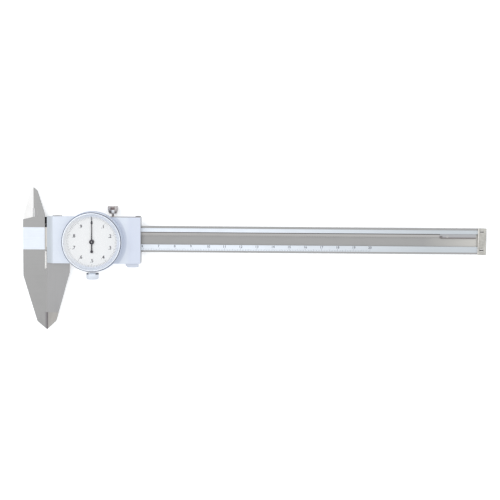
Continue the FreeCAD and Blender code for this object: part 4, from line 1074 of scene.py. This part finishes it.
@dataclass
class ThumbScrews:
    """The lock screw above the slider and the bezel clamp below the dial."""

    thread_radius: float = 0.85
    thread_depth: float = 0.15
    thread_start: float = 0.1
    pitch: float = 0.5
    lock_x: float = 40.9
    lock_tip: float = 9.59
    lock_z: float = 3.2
    lock_stem: float = 6.01
    lock_head: float = 4.7
    lock_radius: float = 3.2
    lock_neck: float = 2.5
    lock_cone: float = 2.5
    lock_ribs: int = 22
    clamp_z: float = 9.9
    clamp_tip: float = 16.7
    clamp_point: float = 0.3
    clamp_cone: float = 1.2
    clamp_near: float = 19.35
    clamp_length: float = 3.95
    clamp_radius: float = 3.8
    clamp_ribs: int = 34
    edge: float = 0.25
    knurl_depth: float = 0.16

    def build(self) -> None:
        """Turn and knurl both screws."""
        self.turn_lock_screw()
        self.turn_clamp_screw()

    def thread(self, low: float, high: float) -> list[Corner]:
        """The zigzag of a thread.

        Args:
            low: Where it starts.
            high: Where it ends.

        Returns:
            Its corners as (radius, height).
        """
        turns = int((high - low) / self.pitch)
        corners = []
        for turn in range(turns):
            corners.append((self.thread_radius, low + turn * self.pitch))
            corners.append((self.thread_radius - self.thread_depth, low + (turn + 0.5) * self.pitch))
        return corners

    def turn_lock_screw(self) -> None:
        """A threaded stem and a knurled head that flares from its neck."""
        top = self.lock_stem + self.lock_head
        full = self.lock_stem + self.lock_cone
        screw = Blank("lock_screw_knurled", "lock_screw", KNURL_STEEL, KNURL_GROOVE_SHADE)
        screw.turn([(0.0, 0.0), *self.thread(self.thread_start, self.lock_stem),
                    (self.thread_radius, self.lock_stem),
                    (self.lock_neck - self.edge, self.lock_stem),
                    (self.lock_neck, self.lock_stem + self.edge),
                    (self.lock_radius, full),
                    (self.lock_radius, top - self.edge),
                    (self.lock_radius - self.edge, top),
                    (self.lock_neck - self.edge, top),
                    (self.lock_neck - 2 * self.edge, top - self.edge),
                    (0.0, top - self.edge)], STEPS_PER_RIB * self.lock_ribs, closed=False)
        screw.knurl(self.lock_ribs, self.knurl_depth, self.lock_neck - 0.01, self.lock_stem,
                    top - self.edge / 2)
        screw.set_down(["lock_screw"], turn=Matrix.Translation(
            (self.lock_x, self.lock_tip, self.lock_z)) @ Matrix.Rotation(-math.pi / 2, 4, "X"))

    def turn_clamp_screw(self) -> None:
        """A cone tip, a threaded stem and a finely knurled round knob."""
        far = self.clamp_near + self.clamp_length
        shoulder = self.clamp_tip + self.clamp_cone
        screw = Blank("bezel_clamp_knurled", "bezel_clamp_screw", KNOB_CHROME, KNOB_GROOVE_SHADE)
        screw.turn([(0.0, self.clamp_tip), (self.clamp_point, self.clamp_tip),
                    *self.thread(shoulder, self.clamp_near),
                    (self.thread_radius - self.thread_depth, self.clamp_near),
                    (self.clamp_radius - self.edge, self.clamp_near),
                    (self.clamp_radius, self.clamp_near + self.edge),
                    (self.clamp_radius, far - 2 * self.edge),
                    (self.clamp_radius - 2 * self.edge, far),
                    (self.clamp_radius - 4 * self.edge, far),
                    (self.clamp_radius - 5 * self.edge, far - self.edge),
                    (0.0, far - self.edge)], STEPS_PER_RIB * self.clamp_ribs, closed=False)
        screw.knurl(self.clamp_ribs, self.knurl_depth, self.clamp_radius - 0.01, self.clamp_near,
                    far)
        screw.set_down(["bezel_clamp_screw"], turn=Matrix.Translation(
            (DIAL_X, DIAL_Y, self.clamp_z)) @ Matrix.Rotation(math.pi / 2, 4, "X"))


@dataclass
class Movement:
    """The gear train between its two plates."""

    def build(self) -> None:
        """Dress the nodes."""
        dress(BRASS, "main_plate", "bridge_plate", "drive_gear", "scissor_gear", "pivot_bushes",
              "bridge_pillars")
        dress(SCREW_STEEL, "movement_screws", "bridge_screws", "drive_arbor", "centre_arbor",
              "scissor_spring", "retaining_ring")


@dataclass
class Studio:
    """The camera at the photograph's angle, the pale floor and the soft light."""

    tilt: tuple[float, float, float] = (0.0867, 0.0067, -0.0075)
    aim: Spot = (130.0, 0.0, 5.0)
    shift: tuple[float, float] = (4.2587, 6.196)
    distance: float = 771.93
    focal_pixels: float = 1248.34
    frame_pixels: float = 500.0
    sensor: float = 36.0
    world_level: float = 1.0
    room_colour: tuple[float, float, float, float] = (0.96, 0.98, 1.0, 1.0)
    lamp_aim: Spot = (0.03, 0.0, 0.0)
    key_spot: Spot = (-0.35, 0.28, 0.75)
    key_size: float = 0.6
    key_power: float = 1.2
    fill_spot: Spot = (0.45, -0.2, 0.9)
    fill_size: float = 0.8
    fill_share: float = 0.45
    floor_colour: tuple[float, float, float, float] = (0.92, 0.93, 0.94, 1.0)
    floor_roughness: float = 0.9
    floor_reach: float = 2.5
    floor_drop: float = 0.00005
    floor_lift: float = 0.38

    def build(self) -> None:
        """Set up camera, lamps, world and floor."""
        bpy.context.scene.view_settings.view_transform = "Standard"
        self.place_camera()
        self.light()
        self.lay_floor()

    def place_camera(self) -> None:
        """Turn the fitted view into a camera in the row frame."""
        about_x, about_y, about_z = self.tilt
        turn = (Matrix.Rotation(about_z, 3, "Z") @ Matrix.Rotation(about_y, 3, "Y")
                @ Matrix.Rotation(about_x, 3, "X"))
        offset = Vector((*self.shift, -self.distance))
        spot = Vector(self.aim) - turn.transposed() @ offset
        data = bpy.data.cameras.new("photo_camera")
        data.sensor_width = self.sensor
        data.lens = self.focal_pixels * self.sensor / self.frame_pixels
        data.clip_start = 0.01
        data.clip_end = 20.0
        camera = bpy.data.objects.new("photo_camera", data)
        bpy.context.scene.collection.objects.link(camera)
        camera.matrix_world = (Matrix.Translation(TO_ROW @ spot)
                               @ turn.transposed().to_4x4())
        bpy.context.scene.camera = camera
        LOG.info("camera at %s", tuple(round(value, 4) for value in camera.location))

    def light(self) -> None:
        """A pale world that the camera sees as white, a wide key lamp and a soft fill."""
        world = bpy.data.worlds.new("pale_room")
        bpy.context.scene.world = world
        world.use_nodes = True
        sheet = NodeSheet(world.node_tree)
        room = world.node_tree.nodes["Background"]
        room.inputs["Color"].default_value = self.room_colour
        room.inputs["Strength"].default_value = self.world_level
        seen = sheet.add("ShaderNodeBackground")
        seen.inputs["Color"].default_value = (1.0, 1.0, 1.0, 1.0)
        sheet.blend(sheet.white_rays(), room, seen, "World Output")
        self.hang_lamp("key_lamp", self.key_spot, self.key_size, self.key_power)
        self.hang_lamp("fill_lamp", self.fill_spot, self.fill_size,
                       self.key_power * self.fill_share)

    def hang_lamp(self, name: str, spot: Spot, size: float, power: float) -> None:
        """Hang one square lamp that looks at the slider.

        Args:
            name: The lamp's name.
            spot: Where it hangs, in metres.
            size: The length of its sides.
            power: Its watts.
        """
        data = bpy.data.lights.new(name, "AREA")
        data.size = size
        data.energy = power
        lamp = bpy.data.objects.new(name, data)
        bpy.context.scene.collection.objects.link(lamp)
        aim = Vector(self.lamp_aim) - Vector(spot)
        turn = aim.to_track_quat("-Z", "Y").to_matrix().to_4x4()
        lamp.matrix_world = Matrix.Translation(spot) @ turn

    def lay_floor(self) -> None:
        """A white floor just under the caliper that keeps a faint shadow.

        Metal and glass show it as plain white, as they show the world.
        """
        bench = bmesh.new()
        bmesh.ops.create_grid(bench, x_segments=1, y_segments=1, size=self.floor_reach)
        bmesh.ops.translate(bench, verts=bench.verts, vec=(0.0, 0.0, -self.floor_drop))
        data = bpy.data.meshes.new("floor")
        bench.to_mesh(data)
        bench.free()
        material = bpy.data.materials.new("pale_floor")
        material.use_nodes = True
        sheet = NodeSheet(material.node_tree)
        shader = material.node_tree.nodes["Principled BSDF"]
        shader.inputs["Base Color"].default_value = self.floor_colour
        shader.inputs["Roughness"].default_value = self.floor_roughness
        shader.inputs["Specular IOR Level"].default_value = 0.0
        shader.inputs["Emission Color"].default_value = (1.0, 1.0, 1.0, 1.0)
        path = sheet.add("ShaderNodeLightPath")
        sheet.join(sheet.math("MULTIPLY", path.outputs["Is Camera Ray"], self.floor_lift),
                   shader.inputs["Emission Strength"])
        white = sheet.add("ShaderNodeEmission")
        mirrored = sheet.math("MAXIMUM", path.outputs["Is Glossy Ray"],
                              path.outputs["Is Transmission Ray"])
        sheet.blend(mirrored, shader, white, "Material Output")
        data.materials.append(material)
        floor = bpy.data.objects.new("floor", data)
        bpy.context.scene.collection.objects.link(floor)


def main() -> None:
    """Build every sub-assembly in order and log when each is done."""
    logging.basicConfig(level=logging.INFO, format="%(name)s: %(message)s")
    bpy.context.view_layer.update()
    for part in (Beam(), Slider(), Dial(), ThumbScrews(), Movement(), Studio()):
        part.build()
        LOG.info("%s is done", type(part).__name__)
    bpy.context.view_layer.update()


if __name__ == "__main__":
    main()
